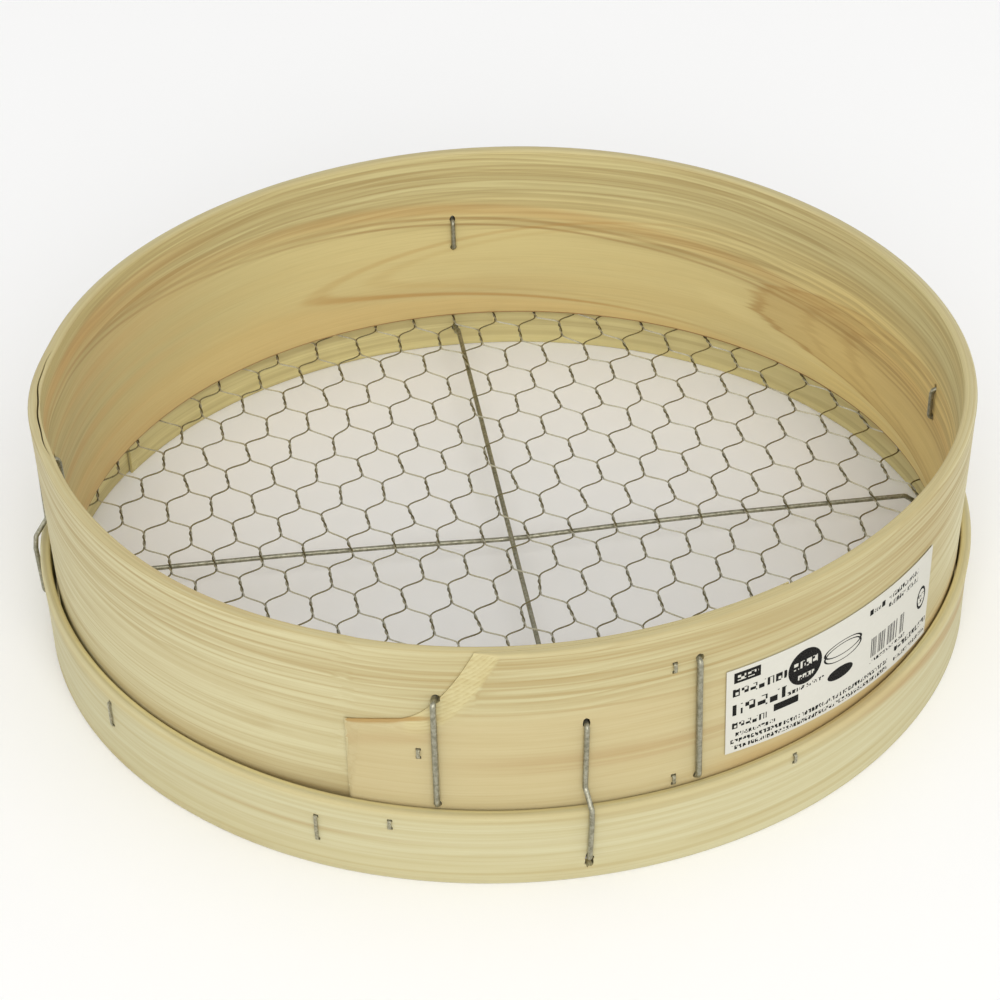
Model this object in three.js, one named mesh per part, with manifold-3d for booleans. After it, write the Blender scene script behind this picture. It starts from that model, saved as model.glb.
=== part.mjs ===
// Round garden sieve: two bentwood rings, hexagonal wire netting, two support rods,
// wire stitches and staples. Millimetres, +Z up. The sieve stands on its foot band,
// with the origin at the centre of its footprint.

import * as THREE from 'three';
import { mergeVertices } from 'three/addons/utils/BufferGeometryUtils.js';
import Module from 'manifold-3d';

const wasm = await Module();
wasm.setup();

// ---- driving dimensions ----

const FIT = 0.35;                 // clearance between pieces that touch on the real sieve

// main hoop: a board bent into a ring, its ends lapped at the front
const HOOP_RADIUS = 175;          // outside
const HOOP_THICKNESS = 5;
const HOOP_BASE = 18.8;           // height of its lower edge
const HOOP_HEIGHT = 80;
const RIM = HOOP_BASE + HOOP_HEIGHT;
const BOARD_STEP = 3;             // degrees per flat of a bent board

// a bent board is never quite round: waves of so many lobes, so high, one lobe at an angle
const RIM_WAVES = [[0, 0.6, 0], [1, 0.43, 117], [2, 1.91, 6], [3, 0.77, -11], [4, 0.9, -17]];
const FOOT_WAVES = [[0, -0.4, 0], [1, 0.5, 148], [2, 1.04, 19], [3, 0.39, -6]];
const KINK = 1.8;                 // the rim bulges where it has cracked in bending
const KINK_ANGLE = 177;
const KINK_REACH = 14;

// lap of the main hoop: both ends are shaved thin and lie on each other
const TONGUE_ANGLE = -116;        // where the outer end stops
const HEEL_ANGLE = -62;           // where the inner end stops
const TONGUE_TIP = 1.6;           // thickness left at the outer end
const HEEL_TIP = 1.2;             // thickness left at the inner end
const LAP_SWELL = 0.5;            // how far the lap stands out
const LAP_BLEND = 25;             // degrees over which the ring runs into the lap

// ogee end of the tongue, as distance from its tip and height above the hoop's lower edge
const OGEE_LEDGE = 18;
const OGEE_LEDGE_LOW = 47.5;
const OGEE_LEDGE_HIGH = 50.2;
const OGEE_LENGTH = 46;
const OGEE_SWEEP = 1.85;          // how late its curve turns up

// foot band: a second bent board around the foot of the hoop, lapped at the back
const BAND_THICKNESS = 4;
const BAND_HEIGHT = 33.2;
const BAND_WAVE = 1.5;            // its upper edge runs a little up and down
const BAND_LEAN = 0.4;            // its wall leans in towards the ground
const BAND_GAP = 0.4;             // it stands off the hoop on the left
const BAND_GAP_ANGLE = 175;
const BAND_TONGUE_ANGLE = 118;
const BAND_HEEL_ANGLE = 146;
const BAND_TIP = 1.4;

// hexagonal netting, clamped between the two rings
const MESH_PITCH = 17.6;          // between the twisted pairs of one row
const MESH_ROW = 18.15;           // between rows
const TWIST_LENGTH = 12.4;
const MESH_WIRE = 1.6;            // width of a twisted pair
const NET_THICKNESS = 1;
const NET_TOP = HOOP_BASE - FIT;
const NET_EDGE = 1.2;             // width of the folded edge
const MESH_ORIGIN = [8.5, 6];     // one twisted pair's middle

// support rods under the netting
const ROD = 2;                    // wire diameter
const ROD_UNDER_NET = NET_TOP - NET_THICKNESS - FIT - ROD / 2;
const ROD_HOLE = 10;              // height of its hole in the band
const ROD_HOOK = 66.3;            // height of its hole in the hoop
const CLINCH = 13;                // length of the leg turned down inside
const ROD_BEND = 1.7;
const ROD_DIP = 90;               // half the length over which one rod sinks under the other

// ends of the rods: which way they face, how far beside that line their holes in the band
// and in the hoop are, and how far the wire stands off the band
const ROD_ENDS = {
  right: { facing: 0, foot: 7.6, hook: 7.6, bulge: 0 },
  left: { facing: 180, foot: -7.6, hook: -16, bulge: 0.6 },
  back: { facing: 90, foot: -0.6, hook: -0.6, bulge: 0 },
  front: { facing: -90, foot: 4.4, hook: 4.4, bulge: 0 },
};

// long stitches through the lap
const STITCH = 2.2;
const STITCH_FOOT = BAND_HEIGHT + 0.4;   // just above the band, which is lower here
const STITCHES = [
  { name: 'lap_stitch_left', angle: -105.55, top: 78.8 },
  { name: 'lap_stitch_right', angle: -75.25, top: 84.8 },
];
const STITCH_TAIL = 9;            // length of each leg turned over inside

// flat staples, by angle and height of their middle
const TACK = { crown: 4.2, width: 1.3, wire: 0.6, leg: 3.2 };
const HOOP_TACKS = [[-107.5, 55.7], [-78.15, 83.4], [-78.2, 34.3]];
const BAND_TACKS = [[-110.8, 25.8], [-62.9, 28.3]];
const BAND_LAP_TACKS = [[124, 24], [124, 9]];
const STAPLE = { crown: 11.5, width: 1.3, wire: 0.7, leg: 3.2 };
const BAND_STAPLES = [[-150.7, 23], [-119.5, 18.2], [38, 18], [104, 18], [160, 18]];

// paper label on the outside of the hoop
const LABEL_FROM = -71.7;
const LABEL_TO = -36;
const LABEL_LEFT = { low: 38.8, tall: 36.3 };     // its left and right edges
const LABEL_RIGHT = { low: 34.3, tall: 40.3 };
const LABEL_THICKNESS = 0.2;

// ---- materials ----

const finish = (color, roughness, metalness) =>
  new THREE.MeshStandardMaterial({ color, roughness, metalness });
const HOOP_WOOD = finish(0xdccfa2, 0.62, 0);
const BAND_WOOD = finish(0xe0d6a8, 0.62, 0);
const NET_WIRE = finish(0x8a8a80, 0.45, 0.9);
const ROD_WIRE = finish(0x9b9d98, 0.45, 0.9);
const STAPLE_WIRE = finish(0xb4b6b0, 0.4, 0.9);
const PAPER = finish(0xf2f1ec, 0.6, 0);

// ---- the two rings ----

const radians = THREE.MathUtils.degToRad;
const smooth = THREE.MathUtils.smoothstep;
const lerp = THREE.MathUtils.lerp;

function wavy(waves, angle) {
  return waves.reduce((sum, [lobes, high, at]) => sum + high * Math.cos(radians(lobes * (angle - at))), 0);
}

function outOfRound(angle, z) {
  const fromKink = angle - KINK_ANGLE - 360 * Math.round((angle - KINK_ANGLE) / 360);
  const kink = KINK * Math.max(0, 1 - (fromKink / KINK_REACH) ** 2) ** 2;
  const rim = wavy(RIM_WAVES, angle) + kink;
  return lerp(wavy(FOOT_WAVES, angle), rim, (z - HOOP_BASE) / HOOP_HEIGHT);
}

// The hoop's board runs from its outer end, TONGUE_ANGLE, once around and on under
// itself to its inner end, HEEL_ANGLE + 360.
function hoopThickness(angle) {
  if (angle < HEEL_ANGLE) {
    return lerp(TONGUE_TIP, HOOP_THICKNESS, (angle - TONGUE_ANGLE) / (HEEL_ANGLE - TONGUE_ANGLE));
  }
  if (angle > TONGUE_ANGLE + 360) {
    const under = (angle - 360 - TONGUE_ANGLE) / (HEEL_ANGLE - TONGUE_ANGLE);
    return lerp(HOOP_THICKNESS, HEEL_TIP, under);
  }
  return HOOP_THICKNESS;
}

function hoopOuter(angle, z) {
  if (angle > TONGUE_ANGLE + 360) {
    return hoopOuter(angle - 360, z) - hoopThickness(angle - 360) - FIT;
  }
  const leaving = 1 - smooth(angle, HEEL_ANGLE, HEEL_ANGLE + LAP_BLEND);
  const dip = TONGUE_TIP + FIT - LAP_SWELL;
  const entering = smooth(angle, TONGUE_ANGLE + 360 - LAP_BLEND, TONGUE_ANGLE + 360);
  return HOOP_RADIUS + outOfRound(angle, z) + LAP_SWELL * leaving - dip * entering;
}

// The outermost face of the hoop at any angle, from -180 to 180.
const turned = (angle) => (angle < TONGUE_ANGLE ? angle + 360 : angle);
const hoopFace = (angle, z) => hoopOuter(turned(angle), z);

// The innermost face, which in the lap is the board's other layer.
function hoopBack(angle, z) {
  const last = turned(angle) < HEEL_ANGLE ? turned(angle) + 360 : turned(angle);
  return hoopOuter(last, z) - hoopThickness(last);
}

function bandTop(angle) {
  return BAND_HEIGHT + BAND_WAVE * Math.cos(radians(2 * (angle - 6)));
}

// Around the tongue the band bridges the step instead of following it.
function bandSeat(angle, z) {
  const turn = THREE.MathUtils.euclideanModulo(angle - TONGUE_ANGLE, 360);
  const beside = 1 - smooth(360 - turn, 0, LAP_BLEND);
  const dip = TONGUE_TIP + FIT;
  const face = hoopFace(angle - 360 * Math.round(angle / 360), Math.max(z, HOOP_BASE));
  return face + (turn > 0 ? dip * beside : 0);
}

function bandInner(angle, z) {
  const off = (1 + Math.cos(radians(angle - BAND_GAP_ANGLE))) / 2;
  const lean = BAND_LEAN * (2 * (z - HOOP_BASE) / BAND_HEIGHT + 0.1);
  return bandSeat(angle, z) + FIT + BAND_GAP * off ** 8 + lean;
}

function bandThickness(angle) {
  const lap = BAND_HEEL_ANGLE - BAND_TONGUE_ANGLE;
  if (angle < BAND_HEEL_ANGLE) {
    return lerp(BAND_TIP, BAND_THICKNESS, (angle - BAND_TONGUE_ANGLE) / lap);
  }
  if (angle > BAND_TONGUE_ANGLE + 360) {
    return lerp(BAND_THICKNESS, BAND_TIP, (angle - 360 - BAND_TONGUE_ANGLE) / lap);
  }
  return BAND_THICKNESS;
}

// The band's board: its inner end lies against the hoop, its outer end over that.
function bandOuter(angle, z) {
  if (angle > BAND_TONGUE_ANGLE + 360) {
    return bandInner(angle, z) + bandThickness(angle);
  }
  const under = bandThickness(angle + 360) + FIT;
  const over = angle < BAND_HEEL_ANGLE ? under
    : (BAND_TIP + FIT) * (1 - smooth(angle, BAND_HEEL_ANGLE, BAND_HEEL_ANGLE + LAP_BLEND));
  return bandInner(angle, z) + over + bandThickness(angle);
}

const bandTurned = (angle) => (angle < BAND_TONGUE_ANGLE ? angle + 360 : angle);
const bandFace = (angle, z) => bandOuter(bandTurned(angle), z);

// A straight board bent to an outer face, a thickness and an upper and lower edge,
// each given along its angle.
function bentBoard({ from, to, step = BOARD_STEP, outer, thickness, low, high }) {
  const board = new THREE.BoxGeometry(1, 1, 1, Math.round((to - from) / step), 1, 1);
  const place = board.attributes.position;
  for (let i = 0; i < place.count; i += 1) {
    const angle = lerp(from, to, place.getX(i) + 0.5);
    const z = lerp(low(angle), high(angle), place.getZ(i) + 0.5);
    const radius = outer(angle, z) - (place.getY(i) + 0.5) * thickness(angle);
    place.setXYZ(i, radius * Math.cos(radians(angle)), radius * Math.sin(radians(angle)), z);
  }
  return board;
}

// ---- joining and cutting ----

const UP = new THREE.Vector3(0, 0, 1);

function solid(geometry) {
  const bare = geometry.clone();
  bare.deleteAttribute('normal');
  bare.deleteAttribute('uv');
  const welded = mergeVertices(bare, 1e-4);
  return new wasm.Manifold(new wasm.Mesh({
    numProp: 3,
    vertProperties: new Float32Array(welded.attributes.position.array),
    triVerts: new Uint32Array(welded.index.array),
  }));
}

function surface(body) {
  const mesh = body.getMesh();
  const geometry = new THREE.BufferGeometry();
  geometry.setAttribute('position', new THREE.BufferAttribute(mesh.vertProperties, 3));
  geometry.setIndex(new THREE.BufferAttribute(mesh.triVerts, 1));
  geometry.computeVertexNormals();
  return geometry;
}

function cut(geometry, cutters) {
  return surface(cutters.reduce((body, cutter) => body.subtract(solid(cutter)), solid(geometry)));
}

// Turns a geometry made with +X pointing outwards to its place around the ring.
const around = (geometry, angle) => geometry.rotateZ(radians(angle));

function radialHole(angle, from, to, z, diameter) {
  const hole = new THREE.CylinderGeometry(diameter / 2, diameter / 2, to - from, 10);
  hole.rotateZ(Math.PI / 2);
  hole.translate((from + to) / 2, 0, z);
  return around(hole, angle);
}

// ---- wires ----

// A path through given points that a wire section is carried along, one ring at each.
class WirePath extends THREE.Curve {
  constructor(points) {
    super();
    this.points = points;
  }

  getPoint(t, target = new THREE.Vector3()) {
    const at = t * (this.points.length - 1);
    const i = Math.min(Math.floor(at), this.points.length - 2);
    return target.lerpVectors(this.points[i], this.points[i + 1], at - i);
  }

  getUtoTmapping(u) {
    return u;
  }

  getTangent(t, target = new THREE.Vector3()) {
    const last = this.points.length - 1;
    const i = Math.round(t * last);
    const before = this.points[Math.max(i - 1, 0)];
    const here = this.points[i];
    const after = this.points[Math.min(i + 1, last)];
    const arriving = here.clone().sub(before).normalize();
    const leaving = after.clone().sub(here).normalize();
    return target.addVectors(arriving, leaving).normalize();
  }
}

function roundedPath(corners, radius, steps = 3) {
  const path = [corners[0]];
  for (let i = 1; i < corners.length - 1; i += 1) {
    const [before, corner, after] = corners.slice(i - 1, i + 2);
    const back = before.clone().sub(corner);
    const on = after.clone().sub(corner);
    const turn = Math.PI - back.angleTo(on);
    const trim = Math.min(radius * Math.tan(turn / 2), back.length() * 0.45, on.length() * 0.45);
    const bend = new THREE.QuadraticBezierCurve3(
      back.setLength(trim).add(corner),
      corner,
      on.setLength(trim).add(corner),
    );
    path.push(...bend.getPoints(steps));
  }
  path.push(corners.at(-1));
  return path;
}

function wire(points, diameter, sides = 8) {
  const section = new THREE.Shape();
  for (let i = 0; i < sides; i += 1) {
    const turn = (2 * Math.PI * i) / sides;
    const place = [diameter / 2 * Math.cos(turn), diameter / 2 * Math.sin(turn)];
    if (i === 0) section.moveTo(...place);
    else section.lineTo(...place);
  }
  section.closePath();
  return new THREE.ExtrudeGeometry(section, {
    extrudePath: new WirePath(points),
    steps: points.length - 1,
    bevelEnabled: false,
  });
}

// Which way a rod's end lies from the middle, at a distance beside the line it faces along.
const facingAngle = ({ facing }, aside) => {
  const angle = facing + THREE.MathUtils.radToDeg(Math.asin(aside / HOOP_RADIUS));
  return angle > 180 ? angle - 360 : angle;
};

// One end of a support rod, going outwards.
function rodEnd(end) {
  const { facing, foot, hook, bulge } = end;
  const lift = FIT + ROD / 2;
  const along = (radius, aside) => Math.sqrt(radius ** 2 - aside ** 2);
  const low = facingAngle(end, foot);
  const edge = bandTop(low);
  const bandWall = along(bandFace(low, ROD_HOLE), foot);
  const bandEdge = along(bandFace(low, edge), foot);
  const over = lerp(foot, hook, 0.4);
  const hoopFoot = along(hoopFace(facingAngle(end, over), edge + 8), over);
  const high = facingAngle(end, hook);
  const hoopWall = along(hoopFace(high, ROD_HOOK), hook);
  const toe = ROD_HOOK - CLINCH;
  const inside = (z) => along(hoopBack(high, z), hook) - lift;
  return [
    [bandWall - 17, foot, ROD_UNDER_NET],
    [bandWall - 9, foot, ROD_HOLE],
    [bandWall + lift + bulge, foot, ROD_HOLE],
    [bandEdge + lift + bulge, lerp(foot, hook, 0.1), edge - 4],
    [bandEdge + lift, lerp(foot, hook, 0.2), edge + 1.6],
    [hoopFoot + lift, over, edge + 8],
    [hoopWall + lift, hook, ROD_HOOK],
    [inside(ROD_HOOK), hook, ROD_HOOK],
    [inside(toe), hook, toe],
    [inside(toe) + lift + 2.4, hook, toe],
  ].map((place) => new THREE.Vector3(...place).applyAxisAngle(UP, radians(facing)));
}

function supportRod(start, finishing, middle = []) {
  const corners = [...rodEnd(start).reverse(), ...middle, ...rodEnd(finishing)];
  return wire(roundedPath(corners, ROD_BEND), ROD);
}

// A wire stitch: the long run outside, a leg through the lap at each end, turned over
// inside towards the other.
function stitch({ angle, top }) {
  const lift = FIT + STITCH / 2;
  const outside = (z) => hoopFace(angle, z) + lift;
  const inside = (z) => hoopBack(angle, z) - lift;
  const corners = [
    [inside(STITCH_FOOT), STITCH_FOOT + STITCH_TAIL],
    [inside(STITCH_FOOT), STITCH_FOOT],
    [outside(STITCH_FOOT), STITCH_FOOT],
    [outside(top), top],
    [inside(top), top],
    [inside(top), top - STITCH_TAIL],
  ].map(([radius, z]) => new THREE.Vector3(radius, 0, z));
  return around(wire(roundedPath(corners, 1.8), STITCH), angle);
}

// Stands a staple up and down against a wall, leaning with it.
function against(body, face, { crown }, angle, z) {
  const rise = face(angle, z + crown / 2) - face(angle, z - crown / 2);
  body.rotateY(Math.atan2(rise, crown));
  body.translate(face(angle, z), 0, z);
  return around(body, angle);
}

// A flat staple, its legs pointing inwards.
function staple(kind, face, angle, z) {
  const { crown, width, wire: gauge, leg } = kind;
  const outline = new THREE.Shape();
  const half = crown / 2;
  const back = FIT + gauge;
  outline.moveTo(-leg, half);
  outline.lineTo(-leg, half - gauge);
  outline.lineTo(FIT, half - gauge);
  outline.lineTo(FIT, gauge - half);
  outline.lineTo(-leg, gauge - half);
  outline.lineTo(-leg, -half);
  outline.lineTo(back - gauge / 2, -half);
  outline.lineTo(back, gauge / 2 - half);
  outline.lineTo(back, half - gauge / 2);
  outline.lineTo(back - gauge / 2, half);
  outline.closePath();
  const body = new THREE.ExtrudeGeometry(outline, { depth: width, bevelEnabled: false });
  body.translate(0, 0, -width / 2);
  body.rotateX(Math.PI / 2);
  return against(body, face, kind, angle, z);
}

function stapleSlots(kind, face, angle, z) {
  const { crown, width, wire: gauge, leg } = kind;
  return [-1, 1].map((side) => {
    const slot = new THREE.BoxGeometry(leg + FIT + 2, width + 2 * FIT, gauge + 2 * FIT);
    slot.translate(1 - (leg + FIT) / 2, 0, side * (crown - gauge) / 2);
    return against(slot, face, kind, angle, z);
  });
}

// ---- sub-parts ----

// A hole along the line that a rod's end faces along.
function rodHole({ facing }, aside, from, to, z) {
  const hole = radialHole(0, from, to, z, ROD + 2 * FIT);
  hole.translate(0, aside, 0);
  return around(hole, facing);
}

function ogeeHeight(angle) {
  const along = radians(angle - TONGUE_ANGLE) * HOOP_RADIUS;
  if (along < OGEE_LEDGE) {
    return HOOP_BASE + lerp(OGEE_LEDGE_LOW, OGEE_LEDGE_HIGH, along / OGEE_LEDGE);
  }
  const sweep = (along - OGEE_LEDGE) / (OGEE_LENGTH - OGEE_LEDGE);
  return HOOP_BASE + lerp(OGEE_LEDGE_HIGH, HOOP_HEIGHT, Math.min(sweep, 1) ** OGEE_SWEEP);
}

function mainHoop() {
  const board = bentBoard({
    from: TONGUE_ANGLE,
    to: HEEL_ANGLE + 360,
    outer: hoopOuter,
    thickness: hoopThickness,
    low: () => HOOP_BASE,
    high: () => RIM,
  });
  const above = 10;
  const ogee = bentBoard({
    from: TONGUE_ANGLE - 1,
    to: TONGUE_ANGLE + THREE.MathUtils.radToDeg(OGEE_LENGTH / HOOP_RADIUS),
    step: 0.8,
    outer: (angle, z) => hoopOuter(Math.max(angle, TONGUE_ANGLE), z) + above,
    thickness: (angle) => hoopThickness(Math.max(angle, TONGUE_ANGLE)) + above + FIT / 2,
    low: (angle) => ogeeHeight(Math.max(angle, TONGUE_ANGLE)),
    high: () => RIM + above,
  });
  const cutters = [ogee];
  for (const end of Object.values(ROD_ENDS)) {
    const angle = facingAngle(end, end.hook);
    const toe = ROD_HOOK - CLINCH;
    const back = hoopBack(angle, toe);
    const toeDepth = Math.sqrt((back + 3) ** 2 - end.hook ** 2);
    cutters.push(rodHole(end, end.hook, back - 5, hoopFace(angle, ROD_HOOK) + 5, ROD_HOOK));
    cutters.push(rodHole(end, end.hook, back - 5, toeDepth, toe));
  }
  for (const { angle, top } of STITCHES) {
    for (const z of [STITCH_FOOT, top]) {
      cutters.push(radialHole(angle, HOOP_RADIUS - 14, HOOP_RADIUS + 8, z, STITCH + 2 * FIT));
    }
  }
  for (const [angle, z] of HOOP_TACKS) {
    cutters.push(...stapleSlots(TACK, hoopFace, angle, z));
  }
  return cut(board, cutters);
}

function footBand() {
  const board = bentBoard({
    from: BAND_TONGUE_ANGLE,
    to: BAND_HEEL_ANGLE + 360,
    outer: bandOuter,
    thickness: bandThickness,
    low: () => 0,
    high: bandTop,
  });
  const cutters = [];
  for (const end of Object.values(ROD_ENDS)) {
    const wall = bandFace(facingAngle(end, end.foot), ROD_HOLE);
    cutters.push(rodHole(end, end.foot, wall - 10, wall + 5, ROD_HOLE));
  }
  const staples = [
    ...BAND_TACKS.map((place) => [TACK, ...place]),
    ...BAND_LAP_TACKS.map((place) => [TACK, ...place]),
    ...BAND_STAPLES.map((place) => [STAPLE, ...place]),
  ];
  for (const [kind, angle, z] of staples) {
    cutters.push(...stapleSlots(kind, bandFace, angle, z));
  }
  return cut(board, cutters);
}

// A flat grille of hexagons as wide as the twisted pairs, inside a folded edge.
function wireNetting() {
  const bottom = NET_TOP - NET_THICKNESS;
  const edge = (inset) => {
    const ring = [];
    for (let angle = 0; angle < 360; angle += 5) {
      const radius = bandInner(angle, bottom) - FIT - inset;
      ring.push(new THREE.Vector2(radius * Math.cos(radians(angle)), radius * Math.sin(radians(angle))));
    }
    return ring;
  };
  const plate = (outline, holes) => {
    const shape = new THREE.Shape(outline);
    shape.holes = holes.map((hole) => new THREE.Path(hole));
    const body = new THREE.ExtrudeGeometry(shape, { depth: NET_THICKNESS, bevelEnabled: false });
    return body.translate(0, 0, bottom);
  };
  const halfPitch = (MESH_PITCH - MESH_WIRE) / 2;
  const shoulder = TWIST_LENGTH / 2;
  const peak = MESH_ROW - TWIST_LENGTH / 2 - MESH_WIRE * 0.55;
  const cell = (x, y) => [
    [0, peak], [-halfPitch, shoulder], [-halfPitch, -shoulder],
    [0, -peak], [halfPitch, -shoulder], [halfPitch, shoulder],
  ].map(([dx, dy]) => new THREE.Vector2(x + dx, y + dy));
  const cells = [];
  const reach = HOOP_RADIUS + MESH_PITCH;
  const count = Math.ceil(reach / MESH_PITCH) + 1;
  for (let row = -count; row <= count; row += 1) {
    for (let column = -count; column <= count; column += 1) {
      const shift = row % 2 === 0 ? 0.5 : 0;
      const x = MESH_ORIGIN[0] + (column + shift) * MESH_PITCH;
      const y = MESH_ORIGIN[1] + row * MESH_ROW;
      if (Math.hypot(x, y) < reach) cells.push(cell(x, y));
    }
  }
  const far = reach + 3 * MESH_PITCH;
  const sheet = [[-far, -far], [far, -far], [far, far], [-far, far]].map((at) => new THREE.Vector2(...at));
  const grille = solid(plate(sheet, cells)).intersect(solid(plate(edge(0), [])));
  return surface(grille.add(solid(plate(edge(0), [edge(NET_EDGE)]))));
}

function paperLabel() {
  const share = (angle) => (angle - LABEL_FROM) / (LABEL_TO - LABEL_FROM);
  const low = (angle) => lerp(LABEL_LEFT.low, LABEL_RIGHT.low, share(angle));
  return bentBoard({
    from: LABEL_FROM,
    to: LABEL_TO,
    outer: (angle, z) => hoopFace(angle, z) + FIT + LABEL_THICKNESS,
    thickness: () => LABEL_THICKNESS,
    low,
    high: (angle) => low(angle) + lerp(LABEL_LEFT.tall, LABEL_RIGHT.tall, share(angle)),
  });
}

function crosswiseRod() {
  const { left, right, back, front } = ROD_ENDS;
  const crossing = (front.foot - back.foot) / 2;
  const under = ROD + FIT;
  const middle = [
    [-ROD_DIP, 0], [-ROD_DIP / 2, under * 0.35], [-5, under],
    [5, under], [ROD_DIP / 2, under * 0.35], [ROD_DIP, 0],
  ].map(([off, sink]) => new THREE.Vector3(crossing + off, right.foot, ROD_UNDER_NET - sink));
  return supportRod(left, right, middle);
}

function foreAftRod() {
  return supportRod(ROD_ENDS.front, ROD_ENDS.back);
}

// ---- assembly ----

const sieve = new THREE.Group();

function add(name, geometry, material) {
  const mesh = new THREE.Mesh(geometry, material);
  mesh.name = name;
  sieve.add(mesh);
}

add('main_hoop', mainHoop(), HOOP_WOOD);
add('foot_band', footBand(), BAND_WOOD);
add('wire_netting', wireNetting(), NET_WIRE);
add('support_rod_crosswise', crosswiseRod(), ROD_WIRE);
add('support_rod_fore_aft', foreAftRod(), ROD_WIRE);
for (const place of STITCHES) add(place.name, stitch(place), ROD_WIRE);
HOOP_TACKS.forEach(([angle, z], i) => {
  add(`hoop_tack_${i + 1}`, staple(TACK, hoopFace, angle, z), STAPLE_WIRE);
});
BAND_TACKS.forEach(([angle, z], i) => {
  add(`band_tack_${i + 1}`, staple(TACK, bandFace, angle, z), STAPLE_WIRE);
});
BAND_LAP_TACKS.forEach(([angle, z], i) => {
  add(`band_lap_tack_${i + 1}`, staple(TACK, bandFace, angle, z), STAPLE_WIRE);
});
BAND_STAPLES.forEach(([angle, z], i) => {
  add(`band_staple_${i + 1}`, staple(STAPLE, bandFace, angle, z), STAPLE_WIRE);
});
add('paper_label', paperLabel(), PAPER);

// The rod ends stand out unevenly, so the footprint is centred once everything is made.
const middle = new THREE.Box3().setFromObject(sieve).getCenter(new THREE.Vector3());
sieve.position.set(-middle.x, -middle.y, 0);

export default sieve;
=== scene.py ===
"""Soil sieve: two bentwood rings, woven hexagonal netting, two support rods, wire stitches and staples.

Lengths are millimetres until a mesh is made, and metres after that.
"""
import math
import random

import bmesh
import bpy
import numpy as np
from mathutils import Matrix, Vector


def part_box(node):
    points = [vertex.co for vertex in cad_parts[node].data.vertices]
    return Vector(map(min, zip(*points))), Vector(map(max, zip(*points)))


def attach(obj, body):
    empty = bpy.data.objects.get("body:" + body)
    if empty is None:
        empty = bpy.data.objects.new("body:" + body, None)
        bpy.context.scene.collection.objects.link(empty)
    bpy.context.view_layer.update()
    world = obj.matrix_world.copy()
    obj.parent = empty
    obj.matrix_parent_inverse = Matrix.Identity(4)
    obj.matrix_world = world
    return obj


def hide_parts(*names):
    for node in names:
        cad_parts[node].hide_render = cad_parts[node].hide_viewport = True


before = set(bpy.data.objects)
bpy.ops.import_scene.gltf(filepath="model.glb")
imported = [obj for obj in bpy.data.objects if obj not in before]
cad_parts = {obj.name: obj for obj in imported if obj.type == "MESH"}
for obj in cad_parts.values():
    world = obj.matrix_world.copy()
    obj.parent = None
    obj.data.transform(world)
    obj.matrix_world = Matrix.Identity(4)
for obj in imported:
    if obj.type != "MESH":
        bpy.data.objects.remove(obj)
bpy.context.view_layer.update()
MM = 0.001
rng = random.Random(35)

# ---- driving dimensions, as the CAD has them ----

FIT = 0.35
HOOP_RADIUS = 175                                # outside
HOOP_THICKNESS = 5
HOOP_BASE = 18.8
HOOP_HEIGHT = 80
RIM = HOOP_BASE + HOOP_HEIGHT
RIM_WAVES = [(0, 0.6, 0), (1, 0.43, 117), (2, 1.91, 6), (3, 0.77, -11), (4, 0.9, -17)]
FOOT_WAVES = [(0, -0.4, 0), (1, 0.5, 148), (2, 1.04, 19), (3, 0.39, -6)]
KINK, KINK_ANGLE, KINK_REACH = 1.8, 177, 14
TONGUE_ANGLE, HEEL_ANGLE = -116, -62
TONGUE_TIP, HEEL_TIP, LAP_GAP = 1.6, 0.5, 0.06   # the last two are 1.2 and 0.35 in the CAD
LAP_SWELL, LAP_BLEND = 0.5, 25
OGEE_LEDGE, OGEE_LEDGE_LOW, OGEE_LEDGE_HIGH, OGEE_LENGTH, OGEE_SWEEP = 18, 47.5, 50.2, 46, 1.85
BAND_THICKNESS, BAND_HEIGHT = 4, 33.2
BAND_WAVE, BAND_LEAN = 1.5, 0.4
BAND_GAP, BAND_GAP_ANGLE = 0.4, 175
BAND_TONGUE_ANGLE, BAND_HEEL_ANGLE, BAND_TIP = 118, 146, 1.4
MESH_PITCH, MESH_ROW, TWIST_LENGTH = 17.6, 18.15, 12.4
MESH_ORIGIN = (8.5, 6)                           # one twisted pair's middle
NET_TOP, NET_THICKNESS = HOOP_BASE - FIT, 1
ROD = 2
ROD_UNDER_NET = NET_TOP - NET_THICKNESS - FIT - ROD / 2
ROD_HOLE, ROD_HOOK, CLINCH, ROD_DIP = 10, 66.3, 13, 90
ROD_ENDS = {  # facing, beside it at the band, beside it at the hoop, standing off the band
    "right": (0, 7.6, 7.6, 0),
    "left": (180, -7.6, -16, 0.6),
    "back": (90, -0.6, -0.6, 0),
    "front": (-90, 4.4, 4.4, 0),
}
STITCH = 2.2
STITCH_FOOT = BAND_HEIGHT + 0.4
STITCHES = [("lap_stitch_left", -105.55, 78.8), ("lap_stitch_right", -75.25, 84.8)]
STITCH_TAIL = 9
TACK = dict(crown=4.2, width=1.3, gauge=0.6, leg=3.2)
HOOP_TACKS = [(-107.5, 55.7), (-78.15, 83.4), (-78.2, 34.3)]
BAND_TACKS = [(-110.8, 25.8), (-62.9, 28.3)]
BAND_LAP_TACKS = [(124, 24), (124, 9)]
STAPLE = dict(crown=11.5, width=1.3, gauge=0.7, leg=3.2)
BAND_STAPLES = [(-150.7, 23), (-119.5, 18.2), (38, 18), (104, 18), (160, 18)]
LABEL_FROM, LABEL_TO, LABEL_THICKNESS = -71.7, -36, 0.2
LABEL_LOW, LABEL_TALL = (38.8, 34.3), (36.3, 40.3)   # at its left and right edges
LABEL_SIZE = (109, 38.5)                         # what its print is laid out on

# ---- what only the looks need ----

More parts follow.
